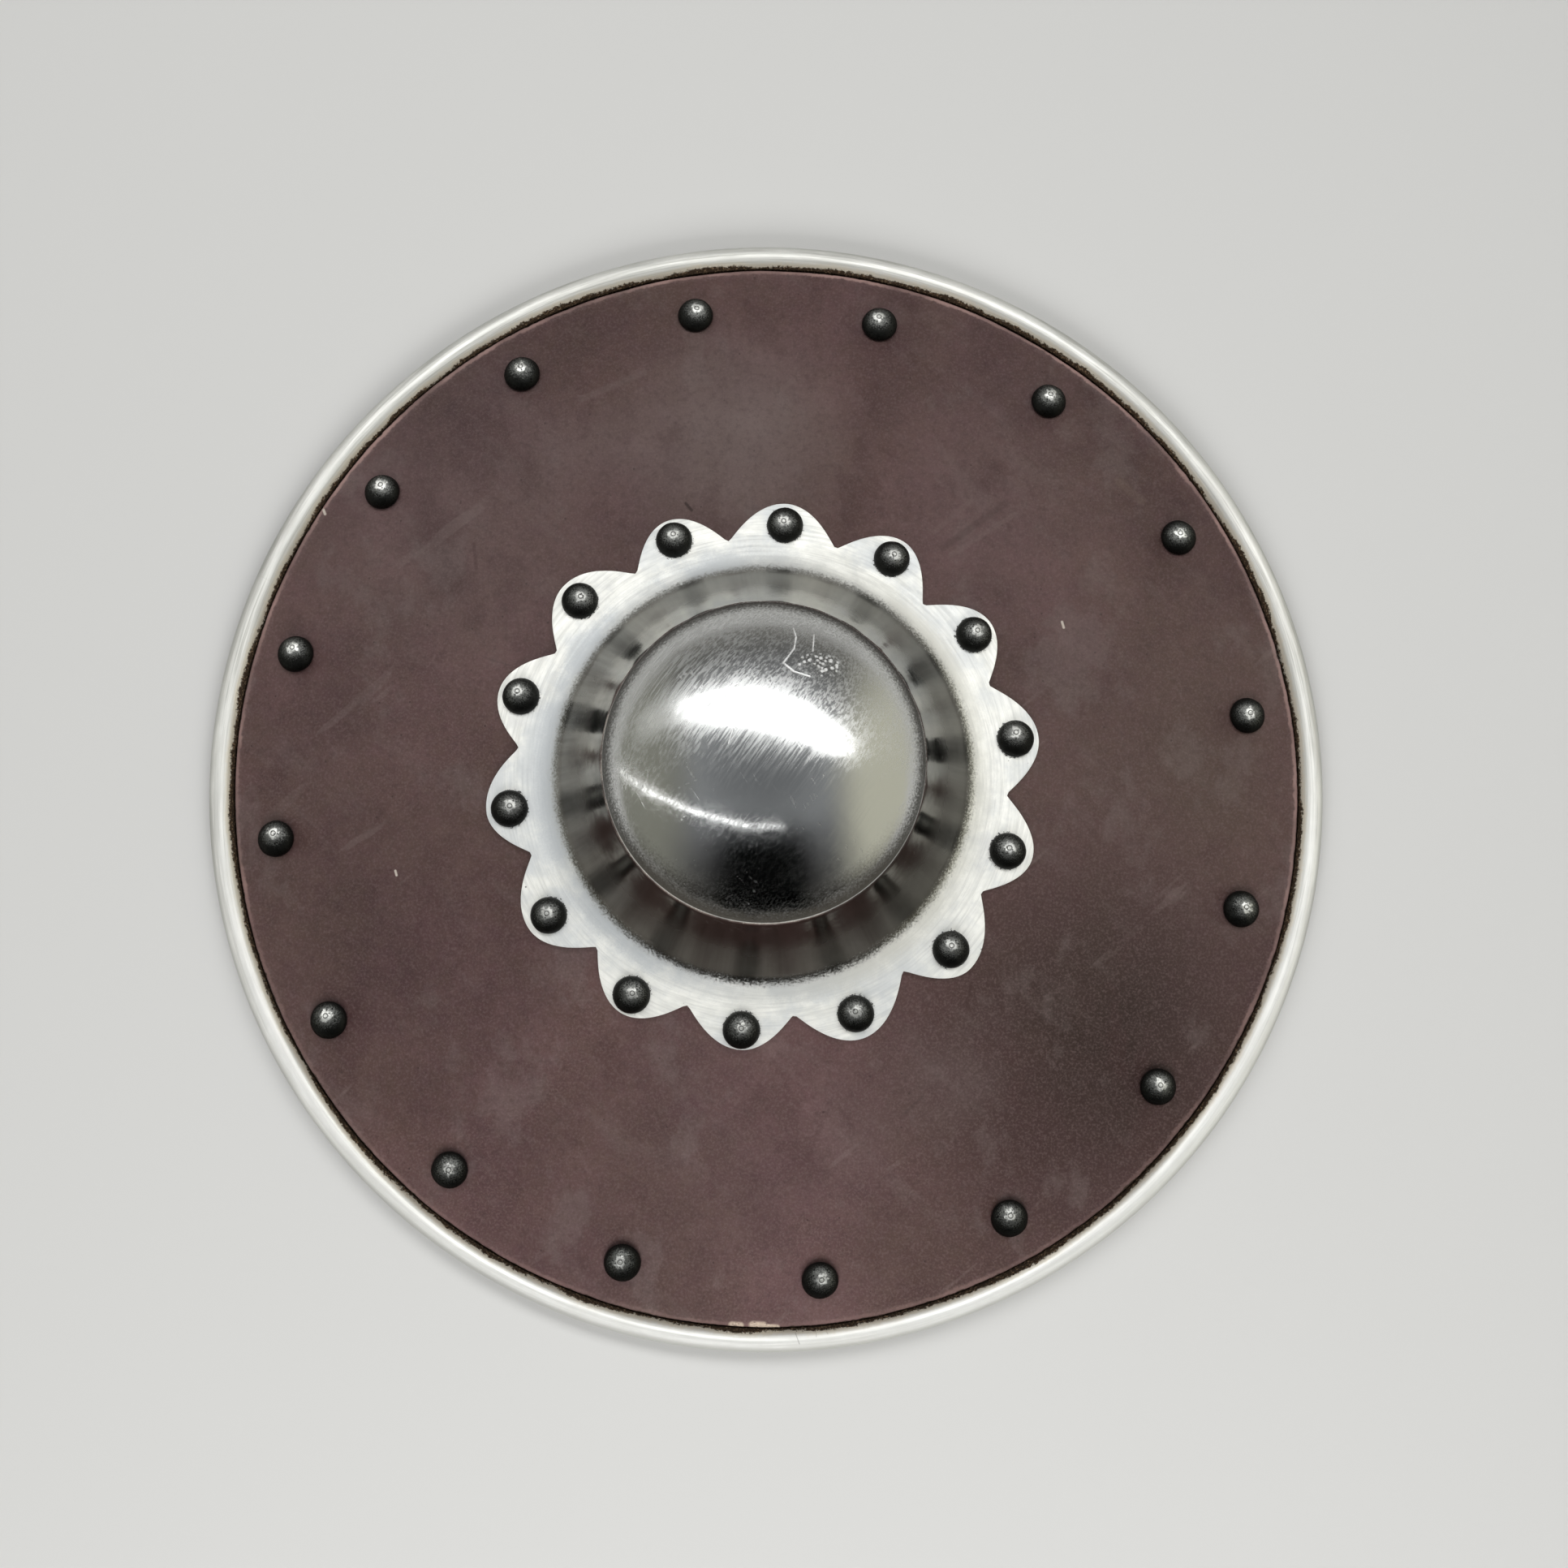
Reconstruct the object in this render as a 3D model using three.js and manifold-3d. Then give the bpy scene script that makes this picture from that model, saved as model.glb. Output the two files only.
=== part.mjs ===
// Round buckler: a dished steel body with a wired edge, a leather face, a lobed boss and a grip behind it.
// Millimetres, +Z towards the boss, +Y towards the top of the shield. The edge bead rests on Z = 0.

import * as THREE from "three";
import { mergeVertices } from "three/addons/utils/BufferGeometryUtils.js";
import Module from "manifold-3d";

const wasm = await Module();
wasm.setup();

// Sizes of the whole shield
const shieldRadius = 175;
const layerGap = 0.3; // left between pieces that bear on each other
const cutOverrun = 5; // how far a cutting solid runs past what it cuts

// Steel body and the wire in its edge
const bodySheet = 1.5;
const bodyRise = 12; // height of the dish over its edge
const handHoleInset = 7.5; // how far the edge of the hand hole reaches in under the boss's foot
const wireRadius = 2;

// Leather face
const leatherThickness = 3;
const leatherEdgeGap = 0.9; // between the leather and the bead

// Boss, set a little off the middle as the maker left it
const bossOffsetX = -1.6;
const bossOffsetY = 0.6;
const bossSheet = 1.5;
const flangeInnerRadius = 71.5; // where the flange starts to rise
const lobeTipMargin = 1.5; // flange left outside a rivet's head
const lobeNotchInset = 3.4; // from the rivets' circle in to the notches
const footFillet = 11;
const wallRun = 23.5; // from the foot in to the crease where the wall meets the dome
const creaseHeight = 28; // over the flange
const domeRise = 22; // over the crease

// Rivets
const headRadius = 5.7;
const headHeight = 3.8;
const shankRadius = 2.5;
const tailRadius = 4.2;
const tailHeight = 1.8;
const rivetFootGap = 1.2; // between the boss rivets' heads and the foot of the wall
const faceRivetInset = 13.9; // from the leather's edge in to the face rivets
const faceOffsetX = -0.8; // the ring of face rivets is a little off the middle
const faceOffsetY = -0.9;

// Grip
const strapWidth = 20;
const strapThickness = 3;
const strapEndMargin = 9.6; // bar left outside the rivet that holds it
const strapBendGap = 4; // from the edge of the hand hole in to where the bar leaves the body
const strapBendRun = 9; // from there in to where it is level again
const scaleWidth = 26;
const scaleThickness = 11;
const scaleEndGap = 3; // between a scale's end and the bar's bend
const gripClearance = 4.7; // under the grip, over the rest plane
const pinRadius = 2;
const pinInset = 17; // from a scale's end

// Counts, angles and shares
const turnSteps = 56;
const beadSides = 12;
const wireSides = 8;
const rivetSides = 8;
const domeSteps = 4;
const filletSteps = 4;
const bodySteps = 3;
const lobeSteps = 8;
const scaleSteps = 8;
const bossRivetCount = 14;
const faceRivetCount = 16;
const bossRivetStart = THREE.MathUtils.degToRad(110.9);
const faceRivetStart = THREE.MathUtils.degToRad(97.4);
const rivetDriftShare = 0.06; // of one spacing, by which the face rivets crowd towards one side
const rivetDriftAngle = THREE.MathUtils.degToRad(70);
const gripRivet = 1; // the boss rivet that holds one end of the grip, its opposite the other
const headArcShares = [1, 0.7, 0.35];
const tailArcShare = 0.5;

// Sizes that follow from those above
const beadRadius = wireRadius + layerGap + bodySheet;
const beadCentreRadius = shieldRadius - beadRadius;
const beadHalfSide = Math.PI / beadSides;
const bodySpan = beadCentreRadius - beadRadius * Math.tan(beadHalfSide);
const bodyCurve = (bodySpan ** 2 + bodyRise ** 2) / (2 * bodyRise);
const leatherUnder = bodySheet + layerGap;
const leatherTop = leatherUnder + leatherThickness;
const flangeUnder = leatherTop + layerGap;
const flangeTop = flangeUnder + bossSheet;
const leatherRadius = beadCentreRadius - beadRadius - leatherEdgeGap;
const handHoleRadius = flangeInnerRadius - handHoleInset;
const creaseRadius = flangeInnerRadius - wallRun;
const bossRivetCircle = flangeInnerRadius + rivetFootGap + headRadius;
const faceRivetCircle = leatherRadius - faceRivetInset;
const lobeTipRadius = bossRivetCircle + headRadius + lobeTipMargin;
const lobeNotchRadius = bossRivetCircle - lobeNotchInset;
const strapHalfLength = bossRivetCircle + strapEndMargin;
const strapBendRadius = handHoleRadius - strapBendGap;
const strapBridgeRadius = strapBendRadius - strapBendRun;
const scaleHalfLength = strapBridgeRadius - scaleEndGap;
const pinReach = scaleHalfLength - pinInset;
const gripHeight = gripClearance + scaleThickness + layerGap + strapThickness / 2; // of the bar's middle

const materials = {
  bodySteel: new THREE.MeshStandardMaterial({ color: 0xc4c5bf, roughness: 0.34, metalness: 1 }),
  bossSteel: new THREE.MeshStandardMaterial({ color: 0xd6d7d3, roughness: 0.18, metalness: 1 }),
  blackSteel: new THREE.MeshStandardMaterial({ color: 0x25241f, roughness: 0.42, metalness: 0.8 }),
  leather: new THREE.MeshStandardMaterial({ color: 0x66544f, roughness: 0.6, metalness: 0 }),
  strapSteel: new THREE.MeshStandardMaterial({ color: 0x54524e, roughness: 0.5, metalness: 0.9 }),
  wood: new THREE.MeshStandardMaterial({ color: 0x6e4a2e, roughness: 0.55, metalness: 0 }),
};

// Height of the dished body at a distance from the shield's axis, lifted by offset along the surface normal
function bodyHeight(radius, offset) {
  return bodyRise - bodyCurve + Math.sqrt((bodyCurve + offset) ** 2 - radius ** 2);
}

function point(radius, height) {
  return new THREE.Vector2(radius, height);
}

function solidFrom(geometry) {
  const bare = geometry.clone();
  bare.deleteAttribute("normal");
  bare.deleteAttribute("uv");
  const welded = mergeVertices(bare);
  const corners = welded.index.array;
  const kept = [];
  for (let i = 0; i < corners.length; i += 3) {
    const [a, b, c] = [corners[i], corners[i + 1], corners[i + 2]];
    if (a !== b && b !== c && c !== a) {
      kept.push(a, b, c);
    }
  }
  const vertProperties = new Float32Array(welded.attributes.position.array);
  return new wasm.Manifold(new wasm.Mesh({ numProp: 3, vertProperties, triVerts: new Uint32Array(kept) }));
}

function meshFrom(name, solid, material) {
  const cut = solid.getMesh();
  const geometry = new THREE.BufferGeometry();
  geometry.setAttribute("position", new THREE.BufferAttribute(new Float32Array(cut.vertProperties), 3));
  geometry.setIndex(new THREE.BufferAttribute(new Uint32Array(cut.triVerts), 1));
  const mesh = new THREE.Mesh(geometry, material);
  mesh.name = name;
  return mesh;
}

// A profile in radius and height turned about the Z axis
function turned(profile, steps) {
  return new THREE.LatheGeometry(profile, steps).rotateX(Math.PI / 2);
}

// The same distances from the hand hole to the edge for every layer, so that the layers stay parallel
function dishedLine(innerRadius, outerRadius, offset) {
  const line = [];
  for (let step = 0; step <= bodySteps; step += 1) {
    const radius = THREE.MathUtils.lerp(innerRadius, outerRadius, step / bodySteps);
    line.push(point(radius, bodyHeight(radius, offset)));
  }
  return line;
}

// Corners of the rolled edge, from the turn under the body round to the curl's end
function beadArc(radius) {
  const reach = radius / Math.cos(beadHalfSide);
  const arc = [];
  for (let side = 0; side <= beadSides - 2; side += 1) {
    const angle = -Math.PI / 2 - beadHalfSide + side * 2 * beadHalfSide;
    arc.push(point(beadCentreRadius + reach * Math.cos(angle), beadRadius + reach * Math.sin(angle)));
  }
  return arc;
}

// Where a rivet stands: the point on a layer of the shield straight over a point of the body, and the normal there
function rivetSeat(x, y, offset) {
  const foot = new THREE.Vector3(x, y, bodyHeight(Math.hypot(x, y), 0));
  const normal = new THREE.Vector3(x, y, foot.z - bodyRise + bodyCurve).normalize();
  const turn = new THREE.Quaternion().setFromUnitVectors(new THREE.Vector3(0, 0, 1), normal);
  return { position: foot.addScaledVector(normal, offset), turn };
}

function bossRivetAngle(index) {
  return bossRivetStart - (index / bossRivetCount) * 2 * Math.PI;
}

function bossRivetPlace(index) {
  const angle = bossRivetAngle(index);
  return [bossOffsetX + bossRivetCircle * Math.cos(angle), bossOffsetY + bossRivetCircle * Math.sin(angle)];
}

function faceRivetPlace(index) {
  const spacing = (2 * Math.PI) / faceRivetCount;
  const even = faceRivetStart - index * spacing;
  const angle = even + spacing * rivetDriftShare * Math.cos(even - rivetDriftAngle);
  return [faceOffsetX + faceRivetCircle * Math.cos(angle), faceOffsetY + faceRivetCircle * Math.sin(angle)];
}

// A round hole through every layer of the shield, square to its surface
function rivetHole(x, y) {
  const seat = rivetSeat(x, y, 0);
  const radius = shankRadius + layerGap;
  const length = 2 * (flangeTop + cutOverrun);
  const hole = new THREE.CylinderGeometry(radius, radius, length, rivetSides).rotateX(Math.PI / 2);
  hole.applyQuaternion(seat.turn).translate(seat.position.x, seat.position.y, seat.position.z);
  return solidFrom(hole);
}

function bossHoles() {
  return Array.from({ length: bossRivetCount }, (_, index) => rivetHole(...bossRivetPlace(index)));
}

function faceHoles() {
  return Array.from({ length: faceRivetCount }, (_, index) => rivetHole(...faceRivetPlace(index)));
}

function cutAll(solid, cutters) {
  return cutters.reduce((left, cutter) => left.subtract(cutter), solid);
}

// A straight hole down through the body and the leather, on the boss's axis
function handHole() {
  const height = 2 * (bodyRise + leatherTop + cutOverrun);
  const hole = new THREE.CylinderGeometry(handHoleRadius, handHoleRadius, height, turnSteps).rotateX(Math.PI / 2);
  return solidFrom(hole.translate(bossOffsetX, bossOffsetY, 0));
}

function steelBody() {
  const innerRadius = handHoleRadius - cutOverrun;
  const back = dishedLine(innerRadius, bodySpan, 0);
  const outside = beadArc(beadRadius);
  const inside = beadArc(beadRadius - bodySheet).reverse();
  const front = dishedLine(innerRadius, leatherRadius, bodySheet).reverse();
  const profile = [...back.slice(0, -1), ...outside, ...inside, ...front, back[0]];
  const plate = solidFrom(turned(profile, turnSteps));
  return meshFrom("steel_body", cutAll(plate, [handHole(), ...bossHoles(), ...faceHoles()]), materials.bodySteel);
}

function edgeWire() {
  const section = [];
  for (let side = 0; side <= wireSides; side += 1) {
    const angle = (side % wireSides) * ((2 * Math.PI) / wireSides);
    section.push(point(beadCentreRadius + wireRadius * Math.cos(angle), beadRadius + wireRadius * Math.sin(angle)));
  }
  return meshFrom("edge_wire", solidFrom(turned(section, turnSteps)), materials.strapSteel);
}

function leatherFace() {
  const innerRadius = handHoleRadius - cutOverrun;
  const under = dishedLine(innerRadius, leatherRadius, leatherUnder);
  const over = dishedLine(innerRadius, leatherRadius, leatherTop).reverse();
  const disc = solidFrom(turned([...under, ...over, under[0]], turnSteps));
  return meshFrom("leather_face", cutAll(disc, [handHole(), ...bossHoles(), ...faceHoles()]), materials.leather);
}

// Side view of the boss from the flange to the apex, for the outer or the inner face of its sheet
function bossLine(depth, flangeOffset) {
  const run = flangeInnerRadius - creaseRadius;
  const climb = creaseHeight - footFillet;
  const wallSlope = Math.atan2(climb, run) + Math.asin(footFillet / Math.hypot(run, climb));
  const domeCurve = (creaseRadius ** 2 + domeRise ** 2) / (2 * domeRise);
  const domeSlope = Math.asin(creaseRadius / domeCurve);
  const foot = bodyHeight(flangeInnerRadius, flangeTop);
  const line = [point(lobeTipRadius + cutOverrun, bodyHeight(lobeTipRadius + cutOverrun, flangeOffset))];
  for (let step = 0; step <= filletSteps; step += 1) {
    const slope = (wallSlope * step) / filletSteps;
    const reach = footFillet + depth;
    line.push(point(flangeInnerRadius - reach * Math.sin(slope), foot + footFillet - reach * Math.cos(slope)));
  }
  const middle = (wallSlope + domeSlope) / 2;
  const mitre = depth / Math.cos((wallSlope - domeSlope) / 2);
  line.push(point(creaseRadius - mitre * Math.sin(middle), foot + creaseHeight - mitre * Math.cos(middle)));
  const centre = foot + creaseHeight + domeRise - domeCurve;
  for (let step = domeSteps - 1; step >= 0; step -= 1) {
    const slope = (domeSlope * step) / domeSteps;
    line.push(point((domeCurve - depth) * Math.sin(slope), centre + (domeCurve - depth) * Math.cos(slope)));
  }
  return line;
}

// Plan of the flange: one rounded lobe for each rivet, meeting in sharp notches
function lobedPlan() {
  const outline = new THREE.Shape();
  const count = bossRivetCount * lobeSteps;
  for (let step = 0; step < count; step += 1) {
    const turn = (step / count) * 2 * Math.PI;
    const swell = Math.abs(Math.cos((bossRivetCount * turn) / 2));
    const reach = lobeNotchRadius + (lobeTipRadius - lobeNotchRadius) * swell;
    const angle = bossRivetStart + turn;
    const [x, y] = [reach * Math.cos(angle), reach * Math.sin(angle)];
    if (step === 0) {
      outline.moveTo(x, y);
    } else {
      outline.lineTo(x, y);
    }
  }
  outline.closePath();
  const depth = bodyRise + flangeTop + creaseHeight + domeRise + cutOverrun;
  return new THREE.ExtrudeGeometry(outline, { depth, bevelEnabled: false, steps: 1 });
}

function boss() {
  const profile = [...bossLine(bossSheet, flangeUnder).reverse(), ...bossLine(0, flangeTop)];
  const shell = solidFrom(turned(profile, turnSteps)).intersect(solidFrom(lobedPlan()));
  const placed = shell.translate([bossOffsetX, bossOffsetY, 0]);
  return meshFrom("boss", cutAll(placed, bossHoles()), materials.bossSteel);
}

// A rivet with a domed head over z = 0 and a peened tail under the pieces that it grips
function rivetSolid(gripLength) {
  const profile = [point(0, -gripLength - tailHeight)];
  profile.push(point(tailRadius * Math.sqrt(1 - tailArcShare ** 2), -gripLength - tailHeight * tailArcShare));
  profile.push(point(tailRadius, -gripLength), point(shankRadius, -gripLength), point(shankRadius, 0));
  for (const share of headArcShares) {
    profile.push(point(headRadius * share, headHeight * Math.sqrt(1 - share ** 2)));
  }
  profile.push(point(0, headHeight));
  return solidFrom(turned(profile, rivetSides));
}

function rivet(name, x, y, topOffset, backOffset) {
  const seat = rivetSeat(x, y, topOffset + layerGap);
  const mesh = meshFrom(name, rivetSolid(topOffset - backOffset + 2 * layerGap), materials.blackSteel);
  mesh.position.copy(seat.position);
  mesh.quaternion.copy(seat.turn);
  return mesh;
}

function numbered(name, index) {
  return `${name}_${String(index + 1).padStart(2, "0")}`;
}

function bossRivets() {
  const opposite = gripRivet + bossRivetCount / 2;
  const strapBack = -layerGap - strapThickness;
  return Array.from({ length: bossRivetCount }, (_, index) => {
    const back = index === gripRivet || index === opposite ? strapBack : 0;
    return rivet(numbered("boss_rivet", index), ...bossRivetPlace(index), flangeTop, back);
  });
}

function faceRivets() {
  return Array.from({ length: faceRivetCount }, (_, index) => {
    return rivet(numbered("face_rivet", index), ...faceRivetPlace(index), leatherTop, 0);
  });
}

// The grip's pieces lie in a frame of their own: X along the bar, Z up, the boss's axis at the origin
function extrudedAcross(outline, width) {
  const geometry = new THREE.ExtrudeGeometry(outline, { depth: width, bevelEnabled: false, steps: 1 });
  return geometry.translate(0, 0, -width / 2).rotateX(Math.PI / 2);
}

function upright(radius, x, low, high) {
  const geometry = new THREE.CylinderGeometry(radius, radius, high - low, rivetSides).rotateX(Math.PI / 2);
  return solidFrom(geometry.translate(x, 0, (low + high) / 2));
}

function pinHoles() {
  const low = gripHeight - strapThickness - scaleThickness - cutOverrun;
  const high = gripHeight + strapThickness + scaleThickness + cutOverrun;
  return [-pinReach, pinReach].map((x) => upright(pinRadius + layerGap, x, low, high));
}

// Side view of the bar: an end under the body on each side, a bend up into the hollow, and the bridge
function gripStrap() {
  const slope = bossRivetCircle / bodyCurve;
  const seat = bodyHeight(bossRivetCircle, -layerGap);
  const tabTop = (x) => seat - slope * (x - bossRivetCircle);
  const bridgeTop = gripHeight + strapThickness / 2;
  const rise = bridgeTop - tabTop(strapBendRadius);
  const ramp = Math.atan2(rise, strapBendRadius - strapBridgeRadius);
  const shift = strapThickness * Math.tan(ramp / 2);
  const half = [
    [strapHalfLength, tabTop(strapHalfLength)],
    [strapBendRadius, tabTop(strapBendRadius)],
    [strapBridgeRadius, bridgeTop],
  ];
  const underHalf = [
    [strapBridgeRadius - shift, bridgeTop - strapThickness],
    [strapBendRadius - shift, tabTop(strapBendRadius) - strapThickness],
    [strapHalfLength, tabTop(strapHalfLength) - strapThickness],
  ];
  const mirrored = (line) => line.map(([x, z]) => [-x, z]).reverse();
  const loop = [...half, ...mirrored(half), ...mirrored(underHalf), ...underHalf];
  const side = new THREE.Shape(loop.map(([x, z]) => new THREE.Vector2(x, z)));
  const straight = strapHalfLength - strapWidth / 2;
  const plan = new THREE.Shape();
  plan.absarc(straight, 0, strapWidth / 2, -Math.PI / 2, Math.PI / 2);
  plan.absarc(-straight, 0, strapWidth / 2, Math.PI / 2, (3 * Math.PI) / 2);
  const height = bridgeTop + cutOverrun;
  const ends = new THREE.ExtrudeGeometry(plan, { depth: height, bevelEnabled: false, curveSegments: rivetSides });
  const bar = solidFrom(extrudedAcross(side, strapWidth)).intersect(solidFrom(ends));
  const holes = [-bossRivetCircle, bossRivetCircle].map((x) => {
    return upright(shankRadius + layerGap, x, seat - strapThickness - cutOverrun, seat + cutOverrun);
  });
  return meshFrom("grip_strap", cutAll(bar, [...holes, ...pinHoles()]), materials.strapSteel);
}

// One half of the wooden grip, flat against the bar and round outside
function gripScale(name, side) {
  const section = new THREE.Shape();
  for (let step = 0; step <= scaleSteps; step += 1) {
    const angle = (Math.PI * step) / scaleSteps;
    const [x, y] = [(scaleWidth / 2) * Math.cos(angle), side * scaleThickness * Math.sin(angle)];
    if (step === 0) {
      section.moveTo(x, y);
    } else {
      section.lineTo(x, y);
    }
  }
  section.closePath();
  const options = { depth: 2 * scaleHalfLength, bevelEnabled: false, steps: 1 };
  const body = new THREE.ExtrudeGeometry(section, options).translate(0, 0, -scaleHalfLength);
  const flat = gripHeight + side * (strapThickness / 2 + layerGap);
  body.rotateX(Math.PI / 2).rotateZ(Math.PI / 2).translate(0, 0, flat);
  return meshFrom(name, cutAll(solidFrom(body), pinHoles()), materials.wood);
}

function gripPin(name, x) {
  const reach = strapThickness / 2 + layerGap + scaleThickness;
  return meshFrom(name, upright(pinRadius, x, gripHeight - reach, gripHeight + reach), materials.strapSteel);
}

function grip() {
  const group = new THREE.Group();
  group.add(gripStrap(), gripScale("grip_scale_front", 1), gripScale("grip_scale_back", -1));
  group.add(gripPin("grip_pin_1", pinReach), gripPin("grip_pin_2", -pinReach));
  group.position.set(bossOffsetX, bossOffsetY, 0);
  group.rotation.z = bossRivetAngle(gripRivet);
  return group;
}

const buckler = new THREE.Group();
buckler.add(steelBody(), edgeWire(), leatherFace(), boss(), ...bossRivets(), ...faceRivets(), grip());

export default buckler;
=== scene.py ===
import bmesh
import bpy
import math
import random
from mathutils import Matrix, Vector, noise


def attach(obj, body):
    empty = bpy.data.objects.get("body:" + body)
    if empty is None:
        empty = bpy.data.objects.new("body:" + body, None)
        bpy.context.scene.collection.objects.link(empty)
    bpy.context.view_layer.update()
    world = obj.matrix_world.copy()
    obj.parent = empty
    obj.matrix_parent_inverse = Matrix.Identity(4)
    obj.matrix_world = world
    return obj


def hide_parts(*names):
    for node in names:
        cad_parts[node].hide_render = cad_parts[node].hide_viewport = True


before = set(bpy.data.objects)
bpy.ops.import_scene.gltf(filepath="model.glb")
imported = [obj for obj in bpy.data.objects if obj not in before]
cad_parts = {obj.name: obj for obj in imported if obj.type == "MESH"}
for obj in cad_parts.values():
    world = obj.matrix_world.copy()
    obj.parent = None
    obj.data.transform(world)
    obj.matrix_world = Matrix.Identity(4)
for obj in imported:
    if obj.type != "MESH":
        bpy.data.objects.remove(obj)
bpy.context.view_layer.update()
mm = 0.001
print("frame loaded with", len(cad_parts), "nodes")

# The layout of the shield in mm, as the CAD has it
shield = {
    "rise": 12,  # of the dish over its edge
    "sheet": 1.5,
    "gap": 0.3,
    "leather": 3,
    "beadRadius": 3.8,
    "beadCentre": 171.2,
    "handHole": 64,
    "holeBlend": 30,  # how far out the hole's shift towards the boss dies away
    "bossX": -1.6,
    "bossY": 0.6,
    "bossRivets": 14,
    "bossRivetStart": math.radians(110.9),
    "bossRivetCircle": 78.4,
    "faceRivets": 16,
    "faceRivetStart": math.radians(97.4),
    "faceRivetCircle": 152.6,
    "faceX": -0.8,
    "faceY": -0.9,
}
bodySpan = shield["beadCentre"] - shield["beadRadius"] * math.tan(math.pi / 12)
bodyCurve = (bodySpan**2 + shield["rise"] ** 2) / (2 * shield["rise"])
leatherUnder = shield["sheet"] + shield["gap"]
leatherTop = leatherUnder + shield["leather"]
flangeTop = leatherTop + shield["gap"] + shield["sheet"]


def bodyHeight(radius, offset=0.0):
    return shield["rise"] - bodyCurve + math.sqrt((bodyCurve + offset) ** 2 - radius**2)


def smooth(value):
    value = min(1.0, max(0.0, value))
    return value * value * (3 - 2 * value)


def roundNoise(angle, turns, level):
    # noise that closes on itself once round
    return noise.noise(Vector((math.cos(angle) * turns, math.sin(angle) * turns, level)))


def lowerSide(angle):
    return smooth((-math.sin(angle) - 0.5) / 0.4)


def rivetSeat(x, y, offset):
    foot = Vector((x, y, bodyHeight(math.hypot(x, y))))
    normal = Vector((x, y, foot.z - shield["rise"] + bodyCurve)).normalized()
    return foot + normal * offset, Vector((0, 0, 1)).rotation_difference(normal)


def bossRivetAngle(index):
    return shield["bossRivetStart"] - index / shield["bossRivets"] * math.tau


def bossRivetPlace(index):
    angle = bossRivetAngle(index)
    reach = shield["bossRivetCircle"]
    return shield["bossX"] + reach * math.cos(angle), shield["bossY"] + reach * math.sin(angle)


def faceRivetPlace(index):
    spacing = math.tau / shield["faceRivets"]
    even = shield["faceRivetStart"] - index * spacing
    angle = even + spacing * 0.06 * math.cos(even - math.radians(70))
    reach = shield["faceRivetCircle"]
    return shield["faceX"] + reach * math.cos(angle), shield["faceY"] + reach * math.sin(angle)


def addObject(name, data):
    thing = bpy.data.objects.new(name, data)
    bpy.context.scene.collection.objects.link(thing)
    return thing


# Camera, fitted to the photograph
camera = {
    "lens": 45, "sensor": 36, "distance": 617.1, "lift": 3.8,
    "tiltX": -7.24, "tiltY": 0.91, "shiftX": -4.89, "shiftY": 1.07,
}


def makeCamera():
    data = bpy.data.cameras.new("photoCamera")
    data.lens = camera["lens"]
    data.sensor_width = camera["sensor"]
    data.clip_start, data.clip_end = 0.01, 30
    cam = addObject("photoCamera", data)
    tiltX, tiltY = math.radians(camera["tiltX"]), math.radians(camera["tiltY"])
    turn = Matrix.Rotation(tiltX, 3, "X") @ Matrix.Rotation(tiltY, 3, "Y")
    offset = Vector((camera["shiftX"], camera["shiftY"], -camera["distance"])) * mm
    place = -(turn.transposed() @ offset) + Vector((0, 0, camera["lift"] * mm))
    cam.matrix_world = Matrix.Translation(place) @ turn.transposed().to_4x4()
    bpy.context.scene.camera = cam


# Small helpers for meshes
def finishMesh(bm, name, material, flip=None):
    # an open sheet is turned over where its probe face looks the wrong way
    bmesh.ops.remove_doubles(bm, verts=bm.verts, dist=1e-6)
    bmesh.ops.dissolve_degenerate(bm, dist=1e-7, edges=bm.edges)
    bmesh.ops.recalc_face_normals(bm, faces=bm.faces)
    if flip and flip(bm):
        bmesh.ops.reverse_faces(bm, faces=bm.faces)
    mesh = bpy.data.meshes.new(name)
    bm.to_mesh(mesh)
    bm.free()
    mesh.polygons.foreach_set("use_smooth", [True] * len(mesh.polygons))
    piece = addObject(name, mesh)
    mesh.materials.append(material)
    return piece


def outerFaceInwards(bm):
    face = max(bm.faces, key=lambda f: f.calc_center_median().xy.length)
    return face.normal.x * face.calc_center_median().x < 0


def topFaceDown(bm):
    return max(bm.faces, key=lambda f: f.calc_center_median().z).normal.z < 0


def addSolidify(piece, thickness):
    modifier = piece.modifiers.new("wall", "SOLIDIFY")
    modifier.thickness = thickness * mm
    modifier.offset = -1
    modifier.use_even_offset = True


def addBevel(piece, width, segments=2, angle=40):
    modifier = piece.modifiers.new("softEdges", "BEVEL")
    modifier.width = width * mm
    modifier.segments = segments
    modifier.limit_method = "ANGLE"
    modifier.angle_limit = math.radians(angle)
    modifier.harden_normals = False


def seat(piece, node):
    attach(piece, "root")
    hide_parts(node)


def arcChain(bm, start, centre, angle, steps):
    # swings one vertex about a centre in the XZ plane, from X towards Z for a positive angle
    geom, axis = [bm.verts.new(start)], (0, -1, 0)
    bmesh.ops.spin(bm, geom=geom, cent=centre, axis=axis, angle=angle, steps=steps, use_duplicate=False)


def line(bm, start, end, cuts=0):
    edge = bm.edges.new([bm.verts.new(start), bm.verts.new(end)])
    if cuts:
        bmesh.ops.subdivide_edges(bm, edges=[edge], cuts=cuts)


def fullSpin(bm, steps):
    bmesh.ops.remove_doubles(bm, verts=bm.verts, dist=2e-6)
    geom, up = bm.verts[:] + bm.edges[:], (0, 0, 1)
    bmesh.ops.spin(bm, geom=geom, cent=(0, 0, 0), axis=up, angle=math.tau, steps=steps, use_merge=True)


def shiftHole(vert, radius):
    # the hand hole is centred on the boss
    share = 1 - smooth((radius - shield["handHole"]) / shield["holeBlend"])
    vert.co.x += shield["bossX"] * share * mm
    vert.co.y += shield["bossY"] * share * mm


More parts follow.
